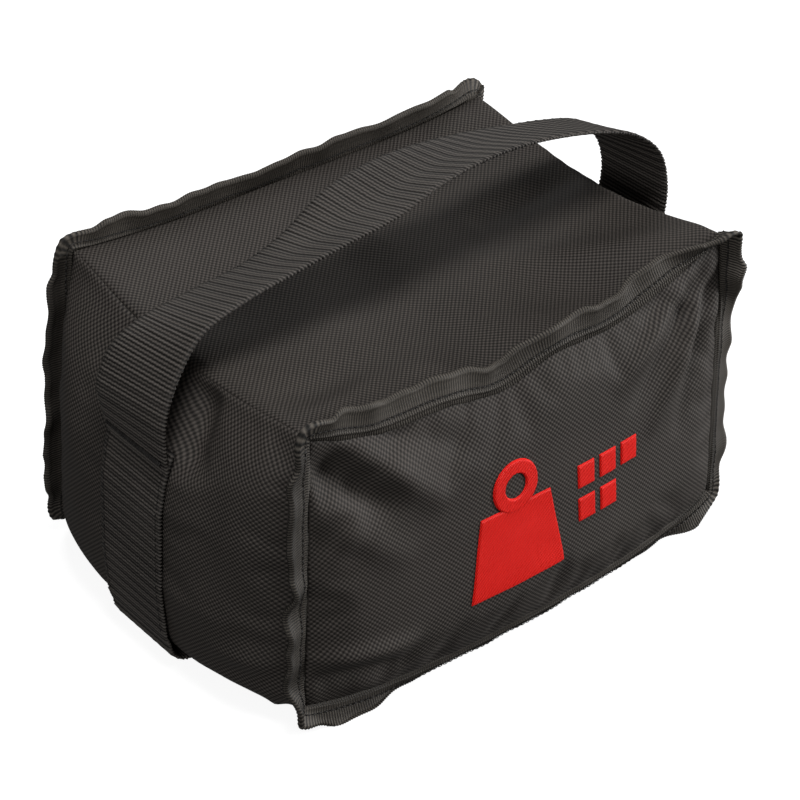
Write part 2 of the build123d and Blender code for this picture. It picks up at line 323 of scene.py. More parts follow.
@dataclass(frozen=True)
class GrainFinish:
    """A moulded, lacquered or grained surface with a fine even texture."""

    name: str
    low: Colour
    high: Colour
    grain: float = 900.0
    relief: float = 0.05 * MM
    roughness: float = 0.4
    metallic: float = 0.0

    def build(self) -> bpy.types.Material:
        """Return the finished material."""
        graph = Graph(self.name)
        fine = graph.noise(self.grain, 4.0, 0.6)
        patch = graph.noise(45.0, 3.0)
        graph.set(Base_Color=graph.mix(fine * 0.7 + patch * 0.3, self.low, self.high))
        graph.set(Roughness=0.22 * patch + (self.roughness - 0.1), Metallic=self.metallic)
        graph.bump(fine, self.relief)
        return graph.material


# In the woven, ribbed and thread finishes below, the low colour is painted shade for the hollows of their relief.
SHELL_CLOTH = WovenFinish("shell_cloth", (0.0004, 0.0003, 0.0003), (0.072, 0.063, 0.056))
BINDING_CLOTH = RibbedFinish(
    "binding_tape_cloth", (0.0010, 0.0009, 0.0008), (0.120, 0.106, 0.090), rib=1.5, yarn=2.2, share=0.85)
WEBBING_CLOTH = RibbedFinish(
    "webbing_cloth", (0.0006, 0.0005, 0.0005), (0.130, 0.116, 0.104), rib=2.2, yarn=1.9, share=0.72)
BLACK_THREAD = ThreadFinish("black_thread", (0.004, 0.004, 0.004), (0.035, 0.032, 0.03), 0.5)
RED_THREAD = ThreadFinish("red_thread", (0.50, 0.002, 0.001), (0.86, 0.014, 0.008), 0.9, 0.2 * MM)
STIFFENER = GrainFinish("stiffener_felt", (0.55, 0.55, 0.53), (0.82, 0.82, 0.8), 500.0, 0.2 * MM, 0.8)
ZIP_CLOTH = WovenFinish("zip_tape_cloth", (0.004, 0.004, 0.004), (0.03, 0.028, 0.026), 0.7)
COIL_NYLON = GrainFinish("coil_nylon", (0.008, 0.008, 0.008), (0.025, 0.025, 0.025), 1200.0, 0.02 * MM, 0.36)
LACQUER = GrainFinish("black_lacquer", (0.006, 0.006, 0.007), (0.02, 0.02, 0.022), 700.0, 0.02 * MM, 0.32, 0.6)
LINER_CLOTH = WovenFinish("liner_cloth", (0.2, 0.18, 0.15), (0.5, 0.46, 0.4), 1.6)
TOUCH_PILE = GrainFinish("touch_pile", (0.008, 0.008, 0.008), (0.05, 0.05, 0.05), 1600.0, 0.5 * MM, 0.85)
DRY_SAND = GrainFinish("dry_sand", (0.42, 0.31, 0.18), (0.78, 0.66, 0.46), 1300.0, 0.6 * MM, 0.9)


# ---------------------------------------------------------------- mesh helpers
@dataclass
class Grid:
    """A sheet of points in rows and columns, with its cloth's own coordinates."""

    points: Point
    uv: Point
    wrap_columns: bool = False
    wrap_rows: bool = False

    def faces(self) -> list[tuple[int, int, int, int]]:
        """Return the grid's four-sided faces by point number."""
        rows, columns = self.points.shape[:2]
        down = range(rows if self.wrap_rows else rows - 1)
        over = range(columns if self.wrap_columns else columns - 1)
        faces = []
        for r in down:
            for c in over:
                r2, c2 = (r + 1) % rows, (c + 1) % columns
                faces.append((r * columns + c, r * columns + c2, r2 * columns + c2, r2 * columns + c))
        return faces


def new_mesh(
    name: str, points: Point, faces: Sequence[Sequence[int]], corner_uv: Point | None = None
) -> bpy.types.Object:
    """Make a mesh object at the origin.

    Args:
        name: The piece's name.
        points: Its points, one row each.
        faces: Its faces, by point number.
        corner_uv: One pair of cloth coordinates for each face corner.

    Returns:
        The new object, smooth shaded.
    """
    mesh = bpy.data.meshes.new(name)
    mesh.from_pydata([tuple(map(float, p)) for p in points], [], [tuple(map(int, f)) for f in faces])
    if corner_uv is not None:
        layer = mesh.uv_layers.new(name="cloth")
        layer.data.foreach_set("uv", np.asarray(corner_uv, np.float32).ravel())
    mesh.polygons.foreach_set("use_smooth", [True] * len(mesh.polygons))
    mesh.update()
    piece = bpy.data.objects.new(name, mesh)
    bpy.context.scene.collection.objects.link(piece)
    return piece


def grid_piece(name: str, grid: Grid) -> bpy.types.Object:
    """Make a mesh object from a grid, keeping its cloth coordinates over a wrap."""
    rows, columns = grid.points.shape[:2]
    faces = grid.faces()
    flat_uv = grid.uv.reshape(-1, 2)
    corner_uv = flat_uv[np.array(faces)].copy()
    if grid.wrap_columns or grid.wrap_rows:
        for axis in (0, 1):
            values = corner_uv[:, :, axis]
            reach = flat_uv[:, axis].max() - flat_uv[:, axis].min()
            wide = (values.max(1) - values.min(1)) > reach / 2
            low = values < flat_uv[:, axis].min() + reach / 2
            step = reach * (1 + 1.0 / max(rows, columns))
            values[wide[:, None] & low] += step
    return new_mesh(name, grid.points.reshape(-1, 3), faces, corner_uv.reshape(-1, 2))


def only(piece: bpy.types.Object) -> None:
    """Select one piece alone and make it active."""
    bpy.ops.object.select_all(action="DESELECT")
    piece.select_set(True)
    bpy.context.view_layer.objects.active = piece


def apply_modifiers(piece: bpy.types.Object) -> bpy.types.Object:
    """Apply every modifier of a piece in order."""
    only(piece)
    for modifier in list(piece.modifiers):
        bpy.ops.object.modifier_apply(modifier=modifier.name)
    return piece


def point_array(piece: bpy.types.Object) -> Point:
    """Return a piece's points as an array."""
    out = np.empty(len(piece.data.vertices) * 3)
    piece.data.vertices.foreach_get("co", out)
    return out.reshape(-1, 3)


def set_points(piece: bpy.types.Object, points: Point) -> None:
    """Move a piece's points."""
    piece.data.vertices.foreach_set("co", np.asarray(points, float).ravel())
    piece.data.update()


def normals_of(piece: bpy.types.Object) -> Point:
    """Return a piece's point normals as an array."""
    out = np.empty(len(piece.data.vertices) * 3)
    piece.data.vertices.foreach_get("normal", out)
    return out.reshape(-1, 3)


def face_outwards(piece: bpy.types.Object) -> None:
    """Merge doubled points and turn every face outwards."""
    work = bmesh.new()
    work.from_mesh(piece.data)
    bmesh.ops.remove_doubles(work, verts=work.verts, dist=1e-6)
    bmesh.ops.recalc_face_normals(work, faces=work.faces)
    work.to_mesh(piece.data)
    work.free()


def thicken(piece: bpy.types.Object, thickness: float) -> None:
    """Give a single layer of cloth its thickness, inwards."""
    solid = piece.modifiers.new("thickness", "SOLIDIFY")
    solid.thickness = thickness
    solid.offset = -1.0
    apply_modifiers(piece)


def smooth_noise(points: Point, scale: float, seed: float) -> Point:
    """Return gentle repeatable variation from -1 to 1 over some points."""
    p = points / scale + seed
    a = np.sin(p[..., 0] * 1.7 + np.sin(p[..., 1] * 1.3 + seed) * 1.5)
    b = np.sin(p[..., 1] * 1.9 + np.sin(p[..., 2] * 1.1 + 2 * seed) * 1.7)
    c = np.sin(p[..., 2] * 2.3 + np.sin(p[..., 0] * 0.9 - seed) * 1.3)
    return (a + b + c) / 3


def spline(stations: Sequence[Sequence[float]], count: int) -> Point:
    """Run a smooth curve through stations, with points evenly spaced along it.

    Args:
        stations: Points that the curve passes through.
        count: How many points to return.

    Returns:
        The evenly spaced points.
    """
    s = np.array(stations, float)
    ends = np.vstack([2 * s[0] - s[1], s, 2 * s[-1] - s[-2]])
    run = []
    t = np.linspace(0, 1, 40, endpoint=False)[:, None]
    for a, b, c, d in zip(ends, ends[1:], ends[2:], ends[3:]):
        run.append(0.5 * (2 * b + (c - a) * t + (2 * a - 5 * b + 4 * c - d) * t**2 + (3 * b - a - 3 * c + d) * t**3))
    run = np.vstack(run + [s[-1:]])
    return resample(run, count)


def resample(run: Point, count: int) -> Point:
    """Space points evenly along a run of points."""
    steps = np.linalg.norm(np.diff(run, axis=0), axis=1)
    far = np.concatenate([[0], np.cumsum(steps)])
    at = np.linspace(0, far[-1], count)
    return np.stack([np.interp(at, far, run[:, k]) for k in range(run.shape[1])], axis=1)


def ease(x: Point) -> Point:
    """Return a smooth step from 0 to 1 over the same range."""
    x = np.clip(x, 0, 1)
    return x * x * (3 - 2 * x)


# ---------------------------------------------------------------- the filled bag
@dataclass
class BagShape:
    """The seams of the filled bag: where its eight corners are and how they sag."""

    half_top: float = 0.1395
    half_foot: float = 0.1455
    y_top: float = 0.0965
    y_foot: float = 0.1035
    low_seam: float = 0.015
    high: dict[tuple[int, int], float] = field(
        default_factory=lambda: {(-1, -1): 0.1785, (1, -1): 0.1855, (-1, 1): 0.1855, (1, 1): 0.1795}
    )
    front_sag: float = 0.020
    back_sag: float = 0.010
    end_dip: dict[int, float] = field(default_factory=lambda: {-1: 0.010, 1: 0.015})

    def corner(self, x: int, y: int, z: int) -> Point:
        """Return a corner, with each sign -1 or 1 for left/right, front/back, low/high."""
        if z < 0:
            return np.array([x * self.half_foot, y * self.y_foot, self.low_seam])
        return np.array([x * self.half_top, y * self.y_top, self.high[x, y]])

    def edge(self, start: tuple[int, int, int], end: tuple[int, int, int], t: Point) -> Point:
        """Return points along the seam between two corners, at t from 0 to 1."""
        a, b = self.corner(*start), self.corner(*end)
        t = np.asarray(t, float)[:, None]
        line = a + (b - a) * t
        mid = 2 * t[:, 0] - 1
        bow = 1 - mid**2
        if start[2] == end[2] == 1 and start[1] == end[1]:
            sag = self.front_sag if start[1] < 0 else self.back_sag
            line[:, 2] -= sag * (1 - np.abs(mid) ** 3)
            line[:, 1] += start[1] * 0.004 * bow
            if start[1] < 0:
                line[:, 2] -= 0.0028 * np.exp(-(((line[:, 0] + 0.016) / 0.02) ** 2))
                line[:, 2] += 0.0020 * np.sin(line[:, 0] * 75) * bow
        elif start[2] == end[2] == -1 and start[1] == end[1]:
            line[:, 1] += start[1] * (0.009 if start[1] < 0 else 0.004) * bow
            line[:, 2] -= (0.010 if start[1] < 0 else 0.004) * (1 - mid**4)
        elif start[2] != end[2]:
            line[:, 1] += start[1] * 0.0005 * bow
        elif start[2] == 1:
            line[:, 2] -= self.end_dip[start[0]] * bow**1.5
            line[:, 0] += start[0] * 0.003 * bow
        else:
            line[:, 0] += start[0] * 0.010 * bow
            line[:, 2] -= 0.008 * bow
        return line

    def seam_loop(self, side: Side, count: int) -> Point:
        """Return a bound seam as evenly spaced points, from its lower left corner up."""
        y = side.value
        t = np.linspace(0, 1, 200)
        run = np.vstack([
            self.edge((-1, y, -1), (-1, y, 1), t)[:-1],
            self.edge((-1, y, 1), (1, y, 1), t)[:-1],
            self.edge((1, y, 1), (1, y, -1), t)[:-1],
            self.edge((1, y, -1), (-1, y, -1), t),
        ])
        return resample(run, count + 1)[:-1]


def edge_patch(bottom: Point, top: Point, left: Point, right: Point) -> Point:
    """Fill four edges with an evenly blended sheet of points, rows from bottom to top."""
    u = np.linspace(0, 1, len(bottom))[None, :, None]
    v = np.linspace(0, 1, len(left))[:, None, None]
    across = (1 - v) * bottom[None] + v * top[None]
    upward = (1 - u) * left[:, None] + u * right[:, None]
    corners = (1 - u) * (1 - v) * bottom[0] + u * (1 - v) * bottom[-1] + (1 - u) * v * top[0] + u * v * top[-1]
    return across + upward - corners


@dataclass
class FilledBag:
    """The outer bag: one closed shell, swelled by its fill, then cut into six panels."""

    shape: BagShape = field(default_factory=BagShape)
    cell: float = 0.0042
    cloth: float = 0.0009
    floor_gap: float = 0.0022
    strap_half: float = 0.0254
    slot_half: tuple[float, float] = (0.093, 0.0045)
    zip_height: float = 0.0985
    zip_depth: float = 0.111
    top_puff: float = 0.0125
    seam_groove: float = 0.0007
    frames: int = 22
    move_limit: float = 0.0045
    shell: bpy.types.Object | None = None
    panels: dict[Panel, bpy.types.Object] = field(default_factory=dict)

    def _patches(self) -> dict[Panel, Point]:
        """Return each panel's points before the bag is filled."""
        edge = self.shape.edge
        nx = round(2 * self.shape.half_foot / self.cell)
        ny = round(2 * self.shape.y_foot / self.cell)
        nz = round(0.168 / self.cell)
        tx, ty, tz = (np.linspace(0, 1, n + 1) for n in (nx, ny, nz))
        patches = {}
        for panel, y in ((Panel.FRONT, -1), (Panel.BACK, 1)):
            patches[panel] = edge_patch(
                edge((-1, y, -1), (1, y, -1), tx), edge((-1, y, 1), (1, y, 1), tx),
                edge((-1, y, -1), (-1, y, 1), tz), edge((1, y, -1), (1, y, 1), tz))
        for panel, z in ((Panel.BOTTOM, -1), (Panel.TOP, 1)):
            patches[panel] = edge_patch(
                edge((-1, -1, z), (1, -1, z), tx), edge((-1, 1, z), (1, 1, z), tx),
                edge((-1, -1, z), (-1, 1, z), ty), edge((1, -1, z), (1, 1, z), ty))
        for panel, x in ((Panel.LEFT, -1), (Panel.RIGHT, 1)):
            patches[panel] = edge_patch(
                edge((x, -1, -1), (x, 1, -1), ty), edge((x, -1, 1), (x, 1, 1), ty),
                edge((x, -1, -1), (x, -1, 1), tz), edge((x, 1, -1), (x, 1, 1), tz))
        return patches

    def _swell(self, panel: Panel, points: Point) -> Point:
        """Push one panel out, or let it sag, towards its filled form."""
        rows, columns = points.shape[:2]
        u = np.linspace(0, 1, columns)[None, :]
        v = np.linspace(0, 1, rows)[:, None]
        pillow = (4 * u * (1 - u)) ** 0.55 * (4 * v * (1 - v)) ** 0.5
        out = points.copy()
        if panel in (Panel.FRONT, Panel.BACK):
            sign = -1 if panel is Panel.FRONT else 1
            sides = (4 * u * (1 - u)) ** 0.45
            rise = [0, 0.03, 0.08, 0.15, 0.3, 0.5, 0.75, 0.93, 1]
            swell = [0, 0.0055, 0.0095, 0.0115, 0.0108, 0.0085, 0.0062, 0.003, 0]
            out[..., 1] += sign * sides * np.interp(v, rise, swell)
            if panel is Panel.BACK:
                out[..., 1] = np.minimum(out[..., 1], self.zip_depth)
        elif panel in (Panel.LEFT, Panel.RIGHT):
            sign = -1 if panel is Panel.LEFT else 1
            rise = [0, 0.04, 0.09, 0.3, 0.6, 0.79, 0.86, 0.93, 1]
            belly = np.interp(v, rise, [0, 0.011, 0.0165, 0.0230, 0.0258, 0.0232, 0.0175, 0.0095, 0])
            out[..., 0] += sign * (4 * u * (1 - u)) ** 0.5 * belly
            out[..., 2] -= 0.004 * (4 * u * (1 - u)) ** 0.5 * np.exp(-v * 9)
        elif panel is Panel.TOP:
            out[..., 2] += pillow**0.8 * self.top_puff
        else:
            flat = np.minimum(1, pillow * 1.9)
            out[..., 2] = out[..., 2] * (1 - flat) + self.floor_gap * flat
        return out

    def _weld(self, patches: dict[Panel, Point]) -> tuple[Point, list[list[int]], list[int]]:
        """Join the six panels along their seams into one closed set of faces."""
        points: list[Point] = []
        number: dict[tuple[float, ...], int] = {}
        faces: list[list[int]] = []
        owner: list[int] = []
        for panel, sheet in patches.items():
            rows, columns = sheet.shape[:2]
            ids = np.empty((rows, columns), int)
            for r in range(rows):
                for c in range(columns):
                    key = tuple(np.round(sheet[r, c], 6))
                    if key not in number:
                        number[key] = len(points)
                        points.append(sheet[r, c])
                    ids[r, c] = number[key]
            for r in range(rows - 1):
                for c in range(columns - 1):
                    faces.append([ids[r, c], ids[r, c + 1], ids[r + 1, c + 1], ids[r + 1, c]])
                    owner.append(panel.value)
        return np.array(points), faces, owner

    def fill(self) -> bpy.types.Object:
        """Build the closed shell and swell it with pressure against its seams.

        Returns:
            The shell, with a face attribute that says which panel each face is in.
        """
        sheets = {panel: self._swell(panel, sheet) for panel, sheet in self._patches().items()}
        points, faces, owner = self._weld(sheets)
        shell = new_mesh("filled_shell", points, faces)
        face_attribute = shell.data.attributes.new("panel", "INT", "FACE")
        face_attribute.data.foreach_set("value", owner)
        face_outwards(shell)
        self._sharpen_seams(shell)
        self.shell = shell
        self._press(shell)
        self._fold(shell)
        return shell

    def _sharpen_seams(self, shell: bpy.types.Object) -> None:
        """Keep the seams between panels sharp when the shell is smoothed."""
        owners = self._point_panels(shell)
        sharp = [len(owners[a] & owners[b]) > 1 for a, b in (edge.vertices for edge in shell.data.edges)]
        crease = shell.data.attributes.new("crease_edge", "FLOAT", "EDGE")
        crease.data.foreach_set("value", [float(value) for value in sharp])

    def _pins(self, shell: bpy.types.Object) -> Point:
        """Return how firmly each point is held while the bag swells."""
        points = point_array(shell)
        hold = np.zeros(len(points))
        owner = np.empty(len(shell.data.polygons), int)
        shell.data.attributes["panel"].data.foreach_get("value", owner)
        touch: dict[int, set[int]] = {}
        for polygon, panel in zip(shell.data.polygons, owner):
            for vertex in polygon.vertices:
                touch.setdefault(vertex, set()).add(int(panel))
        for vertex, panels in touch.items():
            if len(panels) > 1 or panels & {Panel.BOTTOM.value, Panel.TOP.value}:
                hold[vertex] = 1.0
        x, y, z = points.T
        hold[(np.abs(y) < self.strap_half) & (np.abs(x) > 0.14) & (z < 0.150)] = 1.0
        near_zip = (y > 0.1) & (np.abs(x) < self.slot_half[0] + 0.012) & (np.abs(z - self.zip_height) < 0.014)
        hold[near_zip] = 1.0
        return hold

    def _press(self, shell: bpy.types.Object) -> None:
        """Press the shell's walls out from inside, as the fill does, and keep the result."""
        before = point_array(shell)
        hold = self._pins(shell)
        group = shell.vertex_groups.new(name="held")
        for vertex, weight in enumerate(hold):
            group.add([vertex], float(weight), "REPLACE")
        cloth = shell.modifiers.new("fill", "CLOTH")
        settings = cloth.settings
        settings.quality = 6
        settings.mass = 0.35
        settings.tension_stiffness = 18
        settings.compression_stiffness = 12
        settings.shear_stiffness = 6
        settings.bending_stiffness = 0.35
        settings.shrink_min = -0.016
        settings.use_pressure = True
        settings.uniform_pressure_force = 4.0
        settings.vertex_group_mass = "held"
        settings.effector_weights.gravity = 0
        cloth.collision_settings.use_collision = False
        cloth.point_cache.frame_end = self.frames
        scene = bpy.context.scene
        for number in range(1, self.frames + 1):
            scene.frame_set(number)
        view = bpy.context.evaluated_depsgraph_get()
        after = np.empty(len(before) * 3)
        shell.evaluated_get(view).to_mesh().vertices.foreach_get("co", after)
        after = after.reshape(-1, 3)
        shell.modifiers.remove(cloth)
        scene.frame_set(1)
        move = after - before
        far = np.linalg.norm(move, axis=1, keepdims=True)
        move *= np.minimum(1, self.move_limit / np.maximum(far, 1e-9))
        LOG.info("fill moved the cloth by up to %.1f mm", float(far.max()) * 1000)
        set_points(shell, before + move)

    def _fold(self, shell: bpy.types.Object) -> None:
        """Add the listed folds and soft creases, and rest the bag on the floor."""
        points = point_array(shell)
        normals = normals_of(shell)
        owner_of = self._point_panels(shell)
        depth = np.zeros(len(points))
        for crease in CREASES:
            depth += crease.depth_at(points, owner_of)
        self._flatten_zip(points)
        inner = np.array([len(owners) == 1 for owners in owner_of])
        soft = smooth_noise(points, 0.020, 1.3) * 0.0004 + smooth_noise(points, 0.009, 4.1) * 0.00016
        points = points + normals * (depth + soft * inner)[:, None]
        points[:, 2] = np.maximum(points[:, 2], self.floor_gap)
        set_points(shell, points)

    def _flatten_zip(self, points: Point) -> None:
        """Hold the back panel flat round the zip."""
        x, y, z = points.T
        over = np.maximum(np.abs(x) - 0.104, 0) / 0.022
        up = np.maximum(np.abs(z - self.zip_height) - 0.018, 0) / 0.020
        flat = ease(1 - np.hypot(over, up)) * (y > 0.09)
        points[:, 1] = y * (1 - flat) + self.zip_depth * flat

    def _point_panels(self, shell: bpy.types.Object) -> list[set[int]]:
        """Return the panels that each point belongs to."""
        owner = np.empty(len(shell.data.polygons), int)
        shell.data.attributes["panel"].data.foreach_get("value", owner)
        out: list[set[int]] = [set() for _ in shell.data.vertices]
        for polygon, panel in zip(shell.data.polygons, owner):
            for vertex in polygon.vertices:
                out[vertex].add(int(panel))
        return out

    def cut_panels(self) -> dict[Panel, bpy.types.Object]:
        """Smooth the shell, cut it into its six panels and give each its cloth.

        Returns:
            The panels.
        """
        smooth = self.shell.copy()
        smooth.data = self.shell.data.copy()
        bpy.context.scene.collection.objects.link(smooth)
        finer = smooth.modifiers.new("finer", "SUBSURF")
        finer.levels = finer.render_levels = 1
        apply_modifiers(smooth)
        points = point_array(smooth)
        owner = np.empty(len(smooth.data.polygons), int)
        smooth.data.attributes["panel"].data.foreach_get("value", owner)
        corners = np.array([list(p.vertices) for p in smooth.data.polygons])
        normals = normals_of(smooth)
        shared = np.array([len(owners) > 1 for owners in self._point_panels(smooth)])
        points[shared] -= normals[shared] * self.seam_groove
        material = SHELL_CLOTH.build()
        names = {Panel.LEFT: "left_end_panel", Panel.RIGHT: "right_end_panel"}
        for panel in Panel:
            name = names.get(panel, panel.name.lower() + "_panel")
            faces = corners[owner == panel.value]
            if panel is Panel.BACK:
                faces = faces[~self._in_slot(points[faces].mean(1))]
            used, new = np.unique(faces, return_inverse=True)
            new = new.reshape(faces.shape)
            piece = new_mesh(name, points[used], new, self._cloth_uv(panel, points[used])[new].reshape(-1, 2))
            if panel is Panel.BACK:
                self._square_slot(piece)
            thicken(piece, self.cloth)
            piece.data.materials.clear()
            piece.data.materials.append(material)
            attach(piece, "bag")
            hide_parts(name)
            self.panels[panel] = piece
            LOG.info("%s: %d faces", name, len(piece.data.polygons))
        bpy.data.objects.remove(smooth)
        return self.panels

    def _in_slot(self, centres: Point) -> Point:
        """Say which places lie in the zip's opening."""
        half_x, half_z = self.slot_half
        return (np.abs(centres[:, 0]) < half_x) & (np.abs(centres[:, 2] - self.zip_height) < half_z + 0.001)

    def _square_slot(self, piece: bpy.types.Object) -> None:
        """Pull the edge of the zip's opening into a straight folded hem."""
        half_x, half_z = self.slot_half
        work = bmesh.new()
        work.from_mesh(piece.data)
        for vertex in work.verts:
            x, dz = vertex.co.x, vertex.co.z - self.zip_height
            if vertex.is_boundary and abs(x) < half_x + 0.008 and abs(dz) < half_z + 0.008:
                vertex.co.z = self.zip_height + math.copysign(half_z, dz)
                vertex.co.y -= 0.0003
                if abs(x) > half_x - 0.0016:
                    vertex.co.x = math.copysign(half_x, x)
                    if abs(dz) < half_z - 0.0012:
                        vertex.co.z = self.zip_height + dz
        work.to_mesh(piece.data)
        work.free()

    def _cloth_uv(self, panel: Panel, points: Point) -> Point:
        """Lay a panel's cloth flat: its coordinates in millimetres."""
        if panel in (Panel.FRONT, Panel.BACK):
            return points[:, [0, 2]] / MM
        if panel in (Panel.TOP, Panel.BOTTOM):
            return points[:, [0, 1]] / MM
        return points[:, [1, 2]] / MM


@dataclass(frozen=True)
class Crease:
    """One fold in a panel: a ridge (or hollow, when negative) along a line."""

    panel: Panel
    start: tuple[float, float]
    end: tuple[float, float]
    width: float
    height: float

    def depth_at(self, points: Point, owners: list[set[int]]) -> Point:
        """Return how far this fold lifts each point of its panel."""
        plane = {Panel.TOP: [0, 1], Panel.LEFT: [1, 2], Panel.RIGHT: [1, 2]}.get(self.panel, [0, 2])
        flat = points[:, plane]
        a, b = np.array(self.start), np.array(self.end)
        along = b - a
        t = np.clip((flat - a) @ along / (along @ along), 0, 1)
        off = np.linalg.norm(flat - a - t[:, None] * along, axis=1)
        taper = np.sin(np.pi * np.clip(0.12 + 0.88 * t, 0, 1)) ** 0.7
        lift = self.height * taper * np.exp(-((off / self.width) ** 2))
        mine = np.array([owner == {self.panel.value} for owner in owners])
        return lift * mine


CREASES: tuple[Crease, ...] = (
    Crease(Panel.FRONT, (-0.132, 0.158), (-0.092, 0.122), 0.010, -0.0082),
    Crease(Panel.FRONT, (-0.122, 0.168), (-0.060, 0.112), 0.008, 0.0052),
    Crease(Panel.FRONT, (-0.132, 0.128), (-0.085, 0.088), 0.008, 0.0026),
    Crease(Panel.FRONT, (-0.095, 0.166), (-0.035, 0.132), 0.007, -0.0024),
    Crease(Panel.FRONT, (0.134, 0.172), (0.078, 0.092), 0.0055, 0.0060),
    Crease(Panel.FRONT, (0.128, 0.176), (0.052, 0.128), 0.0055, 0.0048),
    Crease(Panel.FRONT, (0.133, 0.168), (0.100, 0.080), 0.006, -0.0046),
    Crease(Panel.FRONT, (0.127, 0.174), (0.064, 0.112), 0.005, -0.0042),
    Crease(Panel.FRONT, (0.136, 0.158), (0.120, 0.070), 0.005, 0.0024),
    Crease(Panel.FRONT, (-0.140, 0.046), (-0.080, 0.040), 0.0045, 0.0042),
    Crease(Panel.FRONT, (-0.140, 0.034), (-0.085, 0.026), 0.004, -0.0036),
    Crease(Panel.FRONT, (-0.140, 0.024), (-0.095, 0.016), 0.004, 0.0020),
    Crease(Panel.TOP, (0.130, -0.084), (0.030, -0.010), 0.013, 0.0046),
    Crease(Panel.TOP, (0.090, -0.086), (0.000, -0.050), 0.014, -0.0030),
    Crease(Panel.TOP, (-0.125, -0.060), (-0.040, -0.055), 0.012, -0.0026),
    Crease(Panel.TOP, (-0.125, -0.080), (-0.070, -0.066), 0.007, 0.0020),
    Crease(Panel.TOP, (0.110, 0.060), (0.010, 0.030), 0.014, -0.0036),
    Crease(Panel.TOP, (0.128, 0.010), (0.060, 0.010), 0.009, -0.0034),
    Crease(Panel.LEFT, (-0.020, 0.174), (-0.038, 0.130), 0.012, -0.0125),
    Crease(Panel.LEFT, (0.075, 0.165), (0.045, 0.080), 0.012, 0.0022),
    Crease(Panel.LEFT, (-0.050, 0.165), (-0.060, 0.060), 0.014, -0.0030),
    Crease(Panel.LEFT, (-0.090, 0.040), (-0.055, 0.036), 0.005, 0.0020),
    Crease(Panel.LEFT, (-0.090, 0.028), (-0.050, 0.026), 0.005, -0.0018),
    Crease(Panel.RIGHT, (-0.070, 0.165), (-0.045, 0.080), 0.012, 0.0024),
    Crease(Panel.RIGHT, (0.060, 0.165), (0.050, 0.070), 0.013, -0.0025),
)


# ---------------------------------------------------------------- bound seams
def stitch_faces(base: int) -> list[list[int]]:
    """Return the four faces of one stitch, whose nine points start at base."""
    return [[a, a + 1, a + 4, a + 3] for a in (base, base + 1, base + 3, base + 4)]


